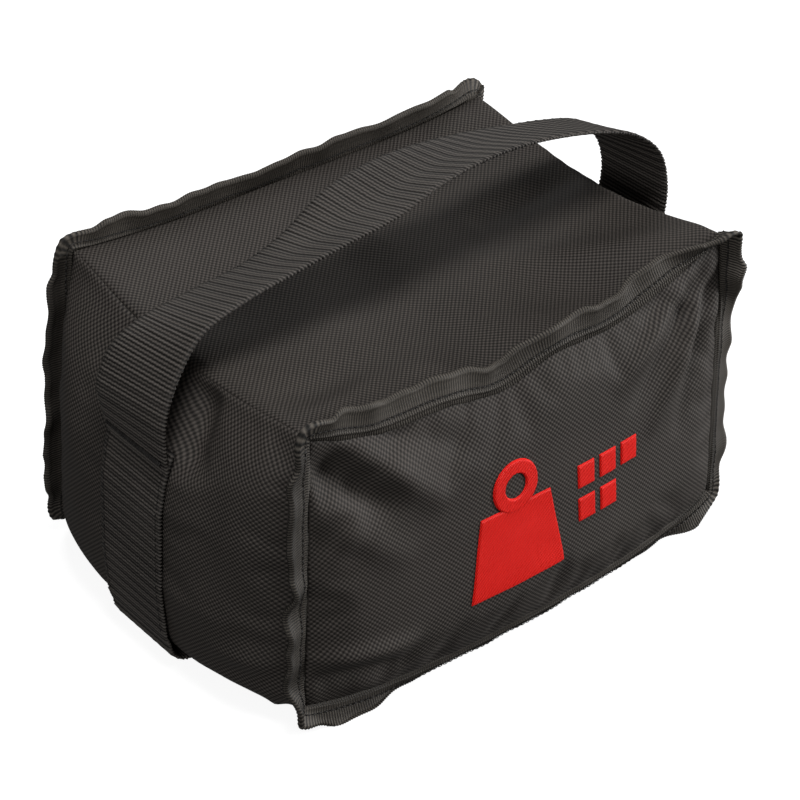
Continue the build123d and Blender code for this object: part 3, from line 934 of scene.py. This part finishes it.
@dataclass
class BoundSeam:
    """The binding tape folded over one bound seam, with its row of stitches."""

    side: Side
    shape: BagShape
    width: float = 0.0152
    rib: float = 0.0015
    columns: int = 3600
    rib_height: float = 0.00020
    droop: dict[Side, float] = field(default_factory=lambda: {Side.FRONT: 0.40, Side.BACK: 0.50})
    reach: tuple[float, ...] = (-0.14, 0.00, 0.06, 0.10, 0.15, 0.30, 0.50, 0.70, 0.80, 0.90, 0.98)
    half: tuple[float, ...] = (0.0005, 0.0006, 0.0010, 0.0015, 0.0010, 0.0009, 0.0010, 0.0010, 0.0014, 0.0017, 0.0010)

    def lean(self, loop: Point) -> Point:
        """Return how far the bound edge leans away from the bag at each place, as a sine."""
        x, _, z = loop.T
        legs = np.abs(x) > 0.132
        left_leg, right_leg = legs & (x < 0), legs & (x > 0)
        foot = z < 0.0165
        if self.side is Side.FRONT:
            lean = -0.30 + 0.10 * np.sin(x * 38 + 0.6) + 1.15 * ease((x - 0.105) / 0.03)
            lean[left_leg] = 0.30 + 0.10 * np.sin(z[left_leg] * 90)
            lean[right_leg] = -0.30 + 1.15 * ease((z[right_leg] - 0.125) / 0.035)
            middle = ease((0.125 - np.abs(x - 0.012)) / 0.035)
            lean[foot & ~legs] = (0.55 - 0.75 * middle)[foot & ~legs]
            lean[foot & legs] = 0.5
        else:
            lean = -0.14 + 0.05 * np.sin(x * 33) + 0.85 * ease((x - 0.115) / 0.025)
            lean[legs] = 0.06
            lean[right_leg] = 0.06 + 0.65 * ease((z[right_leg] - 0.145) / 0.03)
            lean[foot] = 0.25
        return lean

    def waviness(self, loop: Point, far: Point, total: float) -> Point:
        """Return the tape's own gentle waves: how far it sways at each place."""
        x, _, z = loop.T
        turns = 2 * math.pi * far / total
        long_wave = 0.05 * np.sin(turns * 11 + 0.4) + 0.04 * np.sin(turns * 17 + 2.0)
        short_wave = 0.07 * np.sin(turns * 23 + 1.1) + 0.05 * np.sin(turns * 37 + 0.3)
        busy = np.where((x < -0.13) & (z < 0.10), 2.0, 0.8)
        if self.side is Side.BACK:
            busy *= 0.6
        return long_wave + short_wave * self._soften(busy[:, None], 60)[:, 0]

    def _frames(self, loop: Point, far: Point, total: float) -> tuple[Point, Point]:
        """Return the direction in which the tape stands, and its face direction."""
        ahead = np.roll(loop, -1, 0) - np.roll(loop, 1, 0)
        ahead /= np.linalg.norm(ahead, axis=1, keepdims=True)
        face = np.array([0.0, self.side.value, 0.0])
        out = np.cross(ahead, face) * self.side.value
        centre = loop.mean(0)
        wrong = np.einsum("ij,ij->i", out, loop - centre) < 0
        out[wrong] *= -1
        out = self._soften(out, 40)
        droop = ease((loop[:, 0] - 0.108) / 0.030) * ease((loop[:, 2] - 0.145) / 0.025)
        droop *= self.droop[self.side]
        out[:, 2] -= droop
        out[:, 0] += 0.3 * droop
        out /= np.linalg.norm(out, axis=1, keepdims=True)
        lean = self._soften(self.lean(loop)[:, None], 80)[:, 0] + self.waviness(loop, far, total)
        lean = np.clip(lean, -0.85, 0.88)
        stand = out * np.sqrt(1 - lean**2)[:, None] + face * lean[:, None]
        turned = np.cross(ahead, stand)
        turned /= np.linalg.norm(turned, axis=1, keepdims=True)
        flip = np.einsum("ij,j->i", turned, face) < 0
        turned[flip] *= -1
        return stand, turned

    def _soften(self, values: Point, reach: int) -> Point:
        """Average values round the loop, for rounded corners."""
        out = np.zeros_like(values, float)
        weights = np.hanning(2 * reach + 1)
        for step, weight in zip(range(-reach, reach + 1), weights):
            out += weight * np.roll(values, step, 0)
        return out / weights.sum()

    def build(self) -> bpy.types.Object:
        """Build the tape as one closed band round the seam, with ribs across it.

        Returns:
            The tape.
        """
        loop = self.shape.seam_loop(self.side, self.columns)
        length = np.linalg.norm(np.diff(np.vstack([loop, loop[:1]]), axis=0), axis=1)
        far = np.cumsum(length)
        total = far[-1]
        stand, face = self._frames(loop, far, total)
        ribs = round(total / self.rib)
        phase = 2 * math.pi * ribs * far / total
        turn = np.linalg.norm(np.roll(stand, -60, 0) - np.roll(stand, 60, 0), axis=1)
        width = 1 + 0.03 * np.sin(far * 130) + 0.025 * np.sin(far * 310 + 1)
        width = self.width * (width - 0.22 * np.minimum(turn, 1.4))
        rows = []
        uv_rows = []
        across = [(qi, hi, 1) for qi, hi in zip(self.reach, self.half)] + [(1.03, 0.0, 1)]
        across += [(qi, hi, -1) for qi, hi in zip(self.reach[::-1], self.half[::-1])] + [(-0.16, 0.0, -1)]
        for number, (qi, hi, sign) in enumerate(across):
            relief = self.rib_height * np.cos(phase + qi * 0.8)
            lift = (sign * (hi + relief))[:, None] if hi > 0 else 0.0
            rows.append(loop + stand * (qi * width + (relief if hi == 0 else 0))[:, None] + face * lift)
            uv_rows.append(np.stack([far / MM, np.full(len(far), number * 1.4)], axis=1))
        grid = Grid(np.array(rows), np.array(uv_rows), wrap_columns=True, wrap_rows=True)
        name = f"{self.side.name.lower()}_binding_tape"
        piece = grid_piece(name, grid)
        face_outwards(piece)
        points = point_array(piece)
        low = points[:, 2] < 0.0004
        points[low, 2] = 0.0004 + (0.0004 - points[low, 2]) * 0.05
        set_points(piece, points)
        piece.data.materials.append(BINDING_CLOTH.build())
        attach(piece, "bag")
        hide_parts(name)
        LOG.info("%s: %d ribs round %.0f mm", name, ribs, total * 1000)
        self._stitches(loop, stand, face)
        return piece

    def _stitches(self, loop: Point, stand: Point, face: Point) -> None:
        """Lay the row of short stitches along the tape, on both of its faces."""
        pitch = 14
        points: list[Point] = []
        faces: list[list[int]] = []
        for start in range(0, len(loop) - pitch, pitch):
            middle, last = start + pitch // 2, start + pitch - 2
            for sign in (1, -1):
                lift = self.half[5]
                row = []
                for place, rise in ((start, 0.0), (middle, 0.45), (last, 0.0)):
                    base = loop[place] + stand[place] * 0.0042
                    height = sign * (lift + rise * MM)
                    for side_step, up in ((-0.3, 0), (0, 0.22), (0.3, 0)):
                        row.append(base + stand[place] * side_step * MM + face[place] * (height + sign * up * MM))
                base_id = len(points)
                points.extend(row)
                faces += stitch_faces(base_id)
        name = f"{self.side.name.lower()}_binding_stitching"
        piece = new_mesh(name, np.array(points), faces)
        thicken(piece, 0.00012)
        piece.data.materials.append(BLACK_THREAD.build())
        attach(piece, "bag")
        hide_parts(name)


# ---------------------------------------------------------------- webbing
@dataclass
class Webbing:
    """A length of two-inch webbing between two edges, with ribs and a toothed edge."""

    name: str
    near: Point
    far: Point
    outward: Callable[[Point, Point], Point]
    thickness: float = 0.0021
    rib: float = 0.0033
    cup: Point | None = None
    layers: int = 18

    def build(self) -> bpy.types.Object:
        """Build the webbing as one closed strip.

        Returns:
            The strip.
        """
        near, far = self.near, self.far
        count = len(near)
        middle = (near + far) / 2
        steps = np.linalg.norm(np.diff(middle, axis=0), axis=1)
        along = np.concatenate([[0], np.cumsum(steps)])
        ahead = np.gradient(middle, axis=0)
        ahead /= np.linalg.norm(ahead, axis=1, keepdims=True)
        over = far - near
        width = np.linalg.norm(over, axis=1, keepdims=True)
        over = over / width
        normal = np.cross(ahead, over)
        normal /= np.linalg.norm(normal, axis=1, keepdims=True)
        if np.mean(np.einsum("ij,ij->i", normal, self.outward(middle, ahead))) < 0:
            normal = -normal
        cup = np.zeros(count) if self.cup is None else self.cup
        teeth = 0.00035 * np.sin(np.arange(count) * math.pi / 2)
        s = np.linspace(0, 1, self.layers)
        rows, uv_rows = [], []
        for layer, sign in ((s, 1), (s[::-1], -1)):
            for value in layer:
                at_edge = min(value, 1 - value)
                thin = 1.0 if at_edge > 0.02 else 0.55
                edge_tooth = (teeth * (1 if value > 0.5 else -1) if at_edge < 0.03 else 0.0)
                across_rib = 2 * math.pi * along / self.rib
                ridges = math.cos(2 * math.pi * value * 27)
                relief = 0.00020 * np.cos(across_rib) + 0.00008 * ridges * np.cos(across_rib * 0.5)
                sink = cup * (1 - math.sqrt((2 * value - 1) ** 2 + 0.02) / math.sqrt(1.02))
                place = near + over * (width[:, 0] * value + edge_tooth)[:, None]
                lift = sign * (self.thickness / 2 * thin + relief) - sink
                rows.append(place + normal * lift[:, None])
                uv_rows.append(np.stack([along / MM, np.full(count, value * 50.8)], axis=1))
        points = np.array(rows)
        grid = Grid(points, np.array(uv_rows), wrap_rows=True)
        piece = grid_piece(self.name, grid)
        self._close_ends(piece, len(rows), count)
        face_outwards(piece)
        piece.data.materials.append(WEBBING_CLOTH.build())
        return piece

    def _close_ends(self, piece: bpy.types.Object, rows: int, columns: int) -> None:
        """Close the strip's two cut ends with a row of faces."""
        work = bmesh.new()
        work.from_mesh(piece.data)
        work.verts.ensure_lookup_table()
        half = rows // 2
        for column in (0, columns - 1):
            for k in range(half - 1):
                a, b = k * columns + column, (k + 1) * columns + column
                c, d = (rows - 2 - k) * columns + column, (rows - 1 - k) * columns + column
                work.faces.new([work.verts[i] for i in (a, b, c, d)])
        work.to_mesh(piece.data)
        work.free()


@dataclass
class StrapAndHandle:
    """The webbing round the bag: the sewn part, the free handle and their stitching."""

    bag: FilledBag
    half: float = 0.0254
    anchor: float = 0.140
    step: float = 0.00055
    near_edge: tuple[tuple[float, float, float], ...] = (
        (-0.1700, -0.0254, 0.128), (-0.1712, -0.0254, 0.142), (-0.1705, -0.0254, 0.160),
        (-0.1625, -0.0250, 0.182), (-0.1460, -0.0240, 0.2020), (-0.1180, -0.0232, 0.2095),
        (-0.0880, -0.0225, 0.2130), (-0.0560, -0.0228, 0.2170), (-0.0230, -0.0240, 0.2215),
        (0.0030, -0.0245, 0.2295), (0.0300, -0.0245, 0.2335), (0.0600, -0.0240, 0.2325),
        (0.0900, -0.0240, 0.2275), (0.1200, -0.0245, 0.2195), (0.1460, -0.0250, 0.2080),
        (0.1650, -0.0252, 0.1900), (0.1725, -0.0254, 0.1660), (0.1716, -0.0254, 0.142),
        (0.1700, -0.0254, 0.128),
    )
    far_edge: tuple[tuple[float, float, float], ...] = (
        (-0.1700, 0.0254, 0.128), (-0.1745, 0.0254, 0.147), (-0.1755, 0.0254, 0.160),
        (-0.1670, 0.0252, 0.1765), (-0.1490, 0.0245, 0.1860), (-0.1150, 0.0240, 0.1900),
        (-0.0860, 0.0240, 0.1925), (-0.0600, 0.0238, 0.2010), (-0.0340, 0.0250, 0.2150),
        (-0.0080, 0.0250, 0.2210), (0.0190, 0.0245, 0.2220), (0.0540, 0.0240, 0.2180),
        (0.0880, 0.0240, 0.2110), (0.1200, 0.0245, 0.2035), (0.1460, 0.0250, 0.1945),
        (0.1640, 0.0252, 0.1790), (0.1718, 0.0254, 0.1600), (0.1716, 0.0254, 0.142),
        (0.1700, 0.0254, 0.128),
    )

    def build(self) -> None:
        """Build the handle, the sewn strap and the stitching that holds them."""
        self._handle()
        self._sewn_strap()
        for side in (-1, 1):
            self._edge_stitching(side)
            self._bar_tack(side)

    def _handle(self) -> None:
        """Build the free part, the handle that arches over the top of the bag."""
        count = round(0.452 / self.step)
        near = spline(self.near_edge, count)
        far = spline(self.far_edge, count)
        middle_x = (near[:, 0] + far[:, 0]) / 2
        cup = 0.0058 * np.exp(-(((middle_x + 0.010) / 0.058) ** 2))
        strip = Webbing("handle", near, far, lambda m, a: m - [0, 0, 0.12], cup=cup)
        piece = strip.build()
        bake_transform(piece)
        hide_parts("handle")
        LOG.info("handle: %d faces", len(piece.data.polygons))

    def _end_profile(self) -> Point:
        """Return the strap's middle line down the right end and to the bag's middle."""
        tree = BVHTree.FromObject(self.bag.shell, bpy.context.evaluated_depsgraph_get())
        down = []
        for z in np.linspace(self.anchor - 0.002, 0.016, 26):
            spots = [tree.ray_cast(Vector((0.3, y, z)), Vector((-1, 0, 0)))[0] for y in (-0.02, 0, 0.02)]
            tuck = 0.0018 * float(ease(np.array((z - 0.116) / 0.020)))
            down.append([max(s.x for s in spots) + 0.0013 - tuck, z])
        down = np.array(down)
        foot_x, foot_z = down[-1]
        radius = foot_z - 0.00115
        turn = [
            [foot_x - radius + radius * math.cos(a), foot_z - radius * math.sin(a)]
            for a in np.linspace(0.1, math.pi / 2, 10)
        ]
        flat = [[x, 0.00115] for x in np.linspace(foot_x - radius - 0.01, 0, 12)]
        return np.vstack([down, turn, flat])

    def _sewn_strap(self) -> None:
        """Build the sewn part: down one end, under the bag and up the other."""
        right = self._end_profile()
        left = right[::-1][1:] * [-1, 1]
        run = resample(np.vstack([right, left]), round(0.60 / self.step))
        run3 = np.stack([run[:, 0], np.zeros(len(run)), run[:, 1]], axis=1)
        edge = np.array([0, self.half, 0])
        strip = Webbing("sewn_strap", run3 - edge, run3 + edge, lambda m, a: m - [0, 0, 0.09])
        piece = strip.build()
        points = point_array(piece)
        points[:, 2] = np.maximum(points[:, 2], 0.0)
        set_points(piece, points)
        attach(piece, "bag")
        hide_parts("sewn_strap")
        self._profile = right

    def _edge_stitching(self, side: int) -> None:
        """Lay the two rows of stitches down the strap on one end of the bag."""
        profile = resample(self._profile[:24], 90)
        points, faces = [], []
        for y in (-self.half + 0.003, self.half - 0.003):
            for k in range(0, len(profile) - 2, 3):
                (x0, z0), (x1, z1), (x2, z2) = profile[k : k + 3]
                base = len(points)
                lift = 0.0012
                for x, z, rise in ((x0, z0, 0), (x1, z1, 0.0003), (x2, z2, 0)):
                    for dy in (-0.0003, 0.0, 0.0003):
                        points.append([side * (x + lift + rise + (0.0002 if dy == 0 else 0)), y + dy, z])
                faces += stitch_faces(base)
        name = f"{'left' if side < 0 else 'right'}_strap_stitching"
        piece = new_mesh(name, np.array(points), faces)
        thicken(piece, 0.00012)
        piece.data.materials.append(BLACK_THREAD.build())
        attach(piece, "bag")
        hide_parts(name)

    def _bar_tack(self, side: int) -> None:
        """Sew the dense slanting bar where the handle leaves the sewn strap."""
        name = f"{'left' if side < 0 else 'right'}_bar_tack"
        strands = 34
        points, faces = [], []
        for k in range(strands):
            y = (k / (strands - 1) - 0.5) * 0.044
            z = 0.1335 + y * 0.02
            x = side * (0.1728 + 0.0002 * (k % 2))
            base = len(points)
            for dz, rise in ((-0.0014, -0.0008), (0, 0.0005), (0.0014, -0.0008)):
                for dy in (-0.00055, 0.0, 0.00055):
                    lift = rise + (0.00025 if dy == 0 else 0)
                    points.append([x + side * lift, y + dy, z + dz])
            faces += stitch_faces(base)
        piece = new_mesh(name, np.array(points), faces)
        thicken(piece, 0.0003)
        piece.data.materials.append(BLACK_THREAD.build())
        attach(piece, "carrying_handle")
        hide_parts(name)


# ---------------------------------------------------------------- the sewn mark
@dataclass(frozen=True)
class Patch:
    """One satin-stitched shape of the mark: a four-sided patch or a ring, in millimetres."""

    corners: tuple[tuple[float, float], ...] = ()
    centre: tuple[float, float] = (0.0, 0.0)
    radii: tuple[float, float] = (0.0, 0.0)
    rise: float = 0.9

    def plan(self, cell: float) -> tuple[Point, bool]:
        """Return rows of places in the front view, and whether they close on themselves."""
        if self.corners:
            a, b, c, d = (np.array(corner, float) for corner in self.corners)
            columns = max(6, round(np.linalg.norm(b - a) / cell))
            rows = max(6, round(np.linalg.norm(d - a) / cell))
            u = self._steps(columns)[None, :, None]
            v = self._steps(rows)[:, None, None]
            return (a * (1 - u) + b * u) * (1 - v) + (d * (1 - u) + c * u) * v, False
        inner, outer = self.radii
        around = np.linspace(0, 2 * math.pi, round(2 * math.pi * outer / cell), endpoint=False)
        rows = inner + (outer - inner) * self._steps(round((outer - inner) / cell) + 2)
        ring = np.stack([np.cos(around), np.sin(around)], axis=1)
        return np.array(self.centre) + rows[:, None, None] * ring[None], True

    def _steps(self, count: int) -> Point:
        """Return steps from 0 to 1 with narrow ones at both ends, for rounded edges."""
        inside = np.linspace(0, 1, count + 1)[1:-1]
        narrow = 0.25 / count
        return np.concatenate([[0, narrow], inside, [1 - narrow, 1]])


@dataclass
class SewnMark:
    """The embroidered weight sign and bars on the front, and the sheet behind them."""

    bag: FilledBag
    cell: float = 0.55
    patches: tuple[Patch, ...] = (
        Patch(corners=((-51, 46), (13, 46), (4.5, 94), (-42.5, 94))),
        Patch(centre=(-19, 105), radii=(7.0, 15.0), rise=1.15),
        Patch(corners=((24, 84), (36, 84), (36, 98), (24, 98))),
        Patch(corners=((40, 84), (52, 84), (52, 98), (40, 98))),
        Patch(corners=((56, 84), (68, 84), (68, 98), (56, 98))),
        Patch(corners=((24, 64), (36, 64), (36, 78), (24, 78))),
        Patch(corners=((40, 64), (52, 64), (52, 78), (40, 78))),
    )
    sheet: tuple[float, float, float, float] = (-64.0, 28.0, 76.0, 124.0)

    def build(self) -> None:
        """Sew the mark on the front panel and lay the stiffener behind it."""
        panel = self.bag.panels[Panel.FRONT]
        self.tree = BVHTree.FromObject(panel, bpy.context.evaluated_depsgraph_get())
        self._embroidery()
        self._backing()

    def _front_at(self, places: Point) -> Point:
        """Return the front surface's depth at places in the front view."""
        out = np.empty(len(places))
        for k, (x, z) in enumerate(places * MM):
            hit = self.tree.ray_cast(Vector((x, -0.3, z)), Vector((0, 1, 0)))[0]
            out[k] = hit.y if hit else -0.11
        return out

    def _embroidery(self) -> None:
        """Raise each patch off the cloth, with its threads in slanting rows."""
        points, faces, uv = [], [], []
        start = 0
        for patch in self.patches:
            plan, closed = patch.plan(self.cell)
            rows, columns = plan.shape[:2]
            flat = plan.reshape(-1, 2)
            r, c = np.divmod(np.arange(rows * columns), columns)
            inward = np.minimum(r, rows - 1 - r)
            if not closed:
                inward = np.minimum(inward, np.minimum(c, columns - 1 - c))
            rise = np.interp(inward, [0, 1, 2, 3], [-0.6, 0.35, 0.8, 1.0]) * patch.rise
            ridge = 0.07 * np.sin(flat[:, 0] * 9.0 + flat[:, 1] * 4.0)
            ridge += 0.05 * np.sin(flat[:, 0] * 2.1 - flat[:, 1] * 1.3)
            depth = self._front_at(flat) - (rise + ridge * (inward > 0)) * MM
            points.append(np.stack([flat[:, 0] * MM, depth, flat[:, 1] * MM], axis=1))
            mesh_grid = Grid(plan, plan, wrap_columns=closed)
            own = np.array(mesh_grid.faces())
            faces.append(own + start)
            uv.append(flat[own].reshape(-1, 2) @ np.array([[1.0, 0.35], [0.35, -1.0]]))
            start += len(flat)
        piece = new_mesh("emblem_embroidery", np.vstack(points), np.vstack(faces), np.vstack(uv))
        face_outwards(piece)
        self._turn_forwards(piece)
        thicken(piece, 0.0002)
        self._dress(piece, RED_THREAD)

    def _backing(self) -> None:
        """Lay the white stiffening sheet against the inside of the front panel."""
        x0, z0, x1, z1 = self.sheet
        plan = np.stack(np.meshgrid(np.linspace(x0, x1, 60), np.linspace(z0, z1, 40)), axis=-1)
        flat = plan.reshape(-1, 2)
        depth = self._front_at(flat) + self.bag.cloth + 0.0004
        points = np.stack([flat[:, 0] * MM, depth, flat[:, 1] * MM], axis=1)
        faces = np.array(Grid(plan, plan).faces())
        piece = new_mesh("emblem_backing", points, faces, flat[faces].reshape(-1, 2))
        self._turn_forwards(piece)
        thicken(piece, 0.0004)
        self._dress(piece, STIFFENER)

    def _turn_forwards(self, piece: bpy.types.Object) -> None:
        """Turn the faces of an open layer towards the front."""
        work = bmesh.new()
        work.from_mesh(piece.data)
        backward = [face for face in work.faces if face.normal.y > 0]
        bmesh.ops.reverse_faces(work, faces=backward)
        work.to_mesh(piece.data)
        work.free()

    def _dress(self, piece: bpy.types.Object, finish: Any) -> None:
        """Give a layer its finish and its place in the bag."""
        piece.data.materials.append(finish.build())
        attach(piece, "bag")
        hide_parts(piece.name.split(".")[0])


# ---------------------------------------------------------------- the zip
@dataclass
class ZipFastener:
    """The zip across the back: its tapes, coils, end stops, slider and pull tab."""

    height: float = 0.0985
    half_length: float = 0.0904
    chain_in: float = 0.1096
    chain_out: float = 0.1112
    pitch: float = 0.0015
    tooth_width: float = 0.00066
    tooth_reach: float = 0.0023
    overlap: float = 0.0004
    cord: float = 0.0005

    def build(self) -> None:
        """Wind both coils and dress the zip's other pieces."""
        for side, name in ((1, "zipper_coil_upper"), (-1, "zipper_coil_lower")):
            self._coil(side, name)
        for node in ("zipper_tape_upper", "zipper_tape_lower"):
            dress_node(node, ZIP_CLOTH)
        for node in ("zipper_top_stop", "zipper_bottom_stop", "zipper_slider", "zipper_pull_tab"):
            dress_node(node, LACQUER)

    def _coil(self, side: int, name: str) -> None:
        """Wind one coil: a row of rounded turns over a cord, between the end stops."""
        depth = (self.chain_in + self.chain_out) / 2
        length = self.tooth_reach + self.overlap
        middle = self.height + side * (self.tooth_reach - self.overlap) / 2
        start = -self.half_length + self.tooth_width + (self.pitch / 2 if side > 0 else 0)
        bpy.ops.object.select_all(action="DESELECT")
        bpy.ops.mesh.primitive_cylinder_add(vertices=12, radius=1.0, depth=length, location=(start, depth, middle))
        turn = bpy.context.active_object
        turn.scale = (self.tooth_width / 2, (self.chain_out - self.chain_in) / 2, 1.0)
        bpy.ops.object.transform_apply(location=True, rotation=False, scale=True)
        rounding = turn.modifiers.new("rounding", "BEVEL")
        rounding.width = 0.0002
        rounding.segments = 2
        row = turn.modifiers.new("row", "ARRAY")
        row.use_relative_offset = False
        row.use_constant_offset = True
        row.constant_offset_displace = (self.pitch, 0, 0)
        row.count = int((2 * self.half_length - 2 * self.tooth_width) / self.pitch)
        apply_modifiers(turn)
        bpy.ops.object.select_all(action="DESELECT")
        bpy.ops.mesh.primitive_cylinder_add(
            vertices=12, radius=self.cord, depth=2 * self.half_length, rotation=(0, math.pi / 2, 0),
            location=(0, depth - 0.0002, self.height + side * (self.tooth_reach - self.cord)))
        bpy.ops.object.transform_apply(location=True, rotation=True, scale=True)
        turn.select_set(True)
        bpy.context.view_layer.objects.active = turn
        bpy.ops.object.join()
        turn.name = name + "_turns"
        for polygon in turn.data.polygons:
            polygon.use_smooth = True
        turn.data.materials.append(COIL_NYLON.build())
        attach(turn, "bag")
        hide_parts(name)
        LOG.info("%s: %d faces", name, len(turn.data.polygons))


# ---------------------------------------------------------------- inner bag
@dataclass
class InnerBag:
    """The closed inner bag of sand, inside the outer bag's own form."""

    bag: FilledBag
    liner_gap: float = 0.0026
    sand_gap: float = 0.0040
    liner_top: float = 0.158
    sand_top: float = 0.154
    draw_in: float = 0.984

    def build(self) -> None:
        """Build the liner and the sand, and dress its closing flap and strips."""
        self._shrunk("liner_bag", self.liner_gap, self.liner_top, LINER_CLOTH, 0.0)
        self._shrunk("sand_fill", self.sand_gap, self.sand_top, DRY_SAND, 0.0008)
        dress_node("liner_flap", LINER_CLOTH)
        for node in ("liner_loop_strip", "liner_hook_strip"):
            dress_node(node, TOUCH_PILE)

    def _shrunk(self, name: str, gap: float, top: float, finish: Any, grain: float) -> None:
        """Build one closed form inside the shell, level at the top."""
        shell = self.bag.shell
        points = point_array(shell) - normals_of(shell) * gap
        points[:, :2] *= self.draw_in
        level = top + smooth_noise(points, 0.03, 2.2) * grain * 2
        points[:, 2] = np.minimum(points[:, 2], level)
        faces = [list(p.vertices) for p in shell.data.polygons]
        uv = points[:, [0, 1]] / MM + points[:, [2, 2]] / MM * [0.5, 1.0]
        piece = new_mesh(name, points, faces, uv[np.array(faces)].reshape(-1, 2))
        if grain:
            bumps = smooth_noise(points, 0.004, 7.7) * grain * 0.4
            set_points(piece, points + normals_of(piece) * bumps[:, None])
        piece.data.materials.append(finish.build())
        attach(piece, "bag")
        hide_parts(name)


def dress_node(node: str, finish: Any) -> None:
    """Give a CAD node whose shape is right its finish."""
    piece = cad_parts[node]
    material = finish.build()
    if not piece.material_slots:
        piece.data.materials.append(material)
    for slot in piece.material_slots:
        slot.material = material


# ---------------------------------------------------------------- studio
@dataclass
class Studio:
    """A pale floor, soft light and the camera."""

    lens: float = 126.0
    azimuth: float = -41.72
    elevation: float = 36.15
    distance: float = 1.521
    target: tuple[float, float, float] = (0.0042, 0.0, 0.081)
    roll: float = 2.39

    def build(self) -> None:
        """Build the floor, the lights and the camera."""
        self._camera()
        self._floor()
        self._light()

    def _camera(self) -> None:
        """Aim the camera at the bag, with its slight roll."""
        az, el, roll = map(math.radians, (self.azimuth, self.elevation, self.roll))
        back = Vector((math.sin(az) * math.cos(el), -math.cos(az) * math.cos(el), math.sin(el)))
        right = (-back).cross(Vector((0, 0, 1))).normalized()
        up = right.cross(-back)
        across = right * math.cos(roll) + up * math.sin(roll)
        upward = up * math.cos(roll) - right * math.sin(roll)
        data = bpy.data.cameras.new("camera")
        data.lens = self.lens
        data.sensor_width = 36.0
        data.clip_end = 20.0
        camera = bpy.data.objects.new("camera", data)
        turn = Matrix((across, upward, back)).transposed().to_4x4()
        camera.matrix_world = Matrix.Translation(Vector(self.target) + back * self.distance) @ turn
        bpy.context.scene.collection.objects.link(camera)
        bpy.context.scene.camera = camera

    def _floor(self) -> None:
        """Lay the pale floor."""
        bpy.ops.object.select_all(action="DESELECT")
        bpy.ops.mesh.primitive_plane_add(size=12.0, location=(0, 0, -0.0003))
        floor = bpy.context.active_object
        floor.name = "floor"
        graph = Graph("floor_paint")
        graph.set(Base_Color=(0.35, 0.35, 0.35), Roughness=0.9, Specular_IOR_Level=0.0)
        graph.set(Emission_Color=(1.0, 1.0, 1.0), Emission_Strength=0.88)
        floor.data.materials.append(graph.material)
        floor.visible_glossy = False
        floor.visible_diffuse = False

    def _light(self) -> None:
        """Hang an even sky, a key light, a weaker fill, a top light and a back light."""
        scene = bpy.context.scene
        world = bpy.data.worlds.new("sky")
        world.use_nodes = True
        world.node_tree.nodes["Background"].inputs[0].default_value = (1, 1, 1, 1)
        world.node_tree.nodes["Background"].inputs[1].default_value = 0.13
        scene.world = world
        scene.view_settings.view_transform = "Standard"
        for name, place, size, power in (
            ("key", (1.65, -1.00, 0.38), 0.45, 38.0),
            ("fill", (-1.7, -0.9, 0.8), 0.8, 11.0),
            ("top", (-0.15, -0.30, 1.75), 0.55, 21.0),
            ("back", (0.9, 1.5, 1.2), 0.9, 8.0),
        ):
            data = bpy.data.lights.new(name, "AREA")
            data.size = size
            data.energy = power
            lamp = bpy.data.objects.new(name, data)
            aim = Vector((0, 0, 0.1)) - Vector(place)
            lamp.matrix_world = Matrix.Translation(Vector(place)) @ aim.to_track_quat("-Z", "Y").to_matrix().to_4x4()
            scene.collection.objects.link(lamp)


def main() -> None:
    """Build the whole bag and its studio, one sub-assembly after another."""
    logging.basicConfig(level=logging.INFO, format="%(name)s: %(message)s")
    Studio().build()
    shape = BagShape()
    bag = FilledBag(shape)
    bag.fill()
    bag.cut_panels()
    for side in Side:
        BoundSeam(side, shape).build()
    StrapAndHandle(bag).build()
    SewnMark(bag).build()
    InnerBag(bag).build()
    ZipFastener().build()
    bpy.data.objects.remove(bag.shell)


if __name__ == "__main__":
    main()
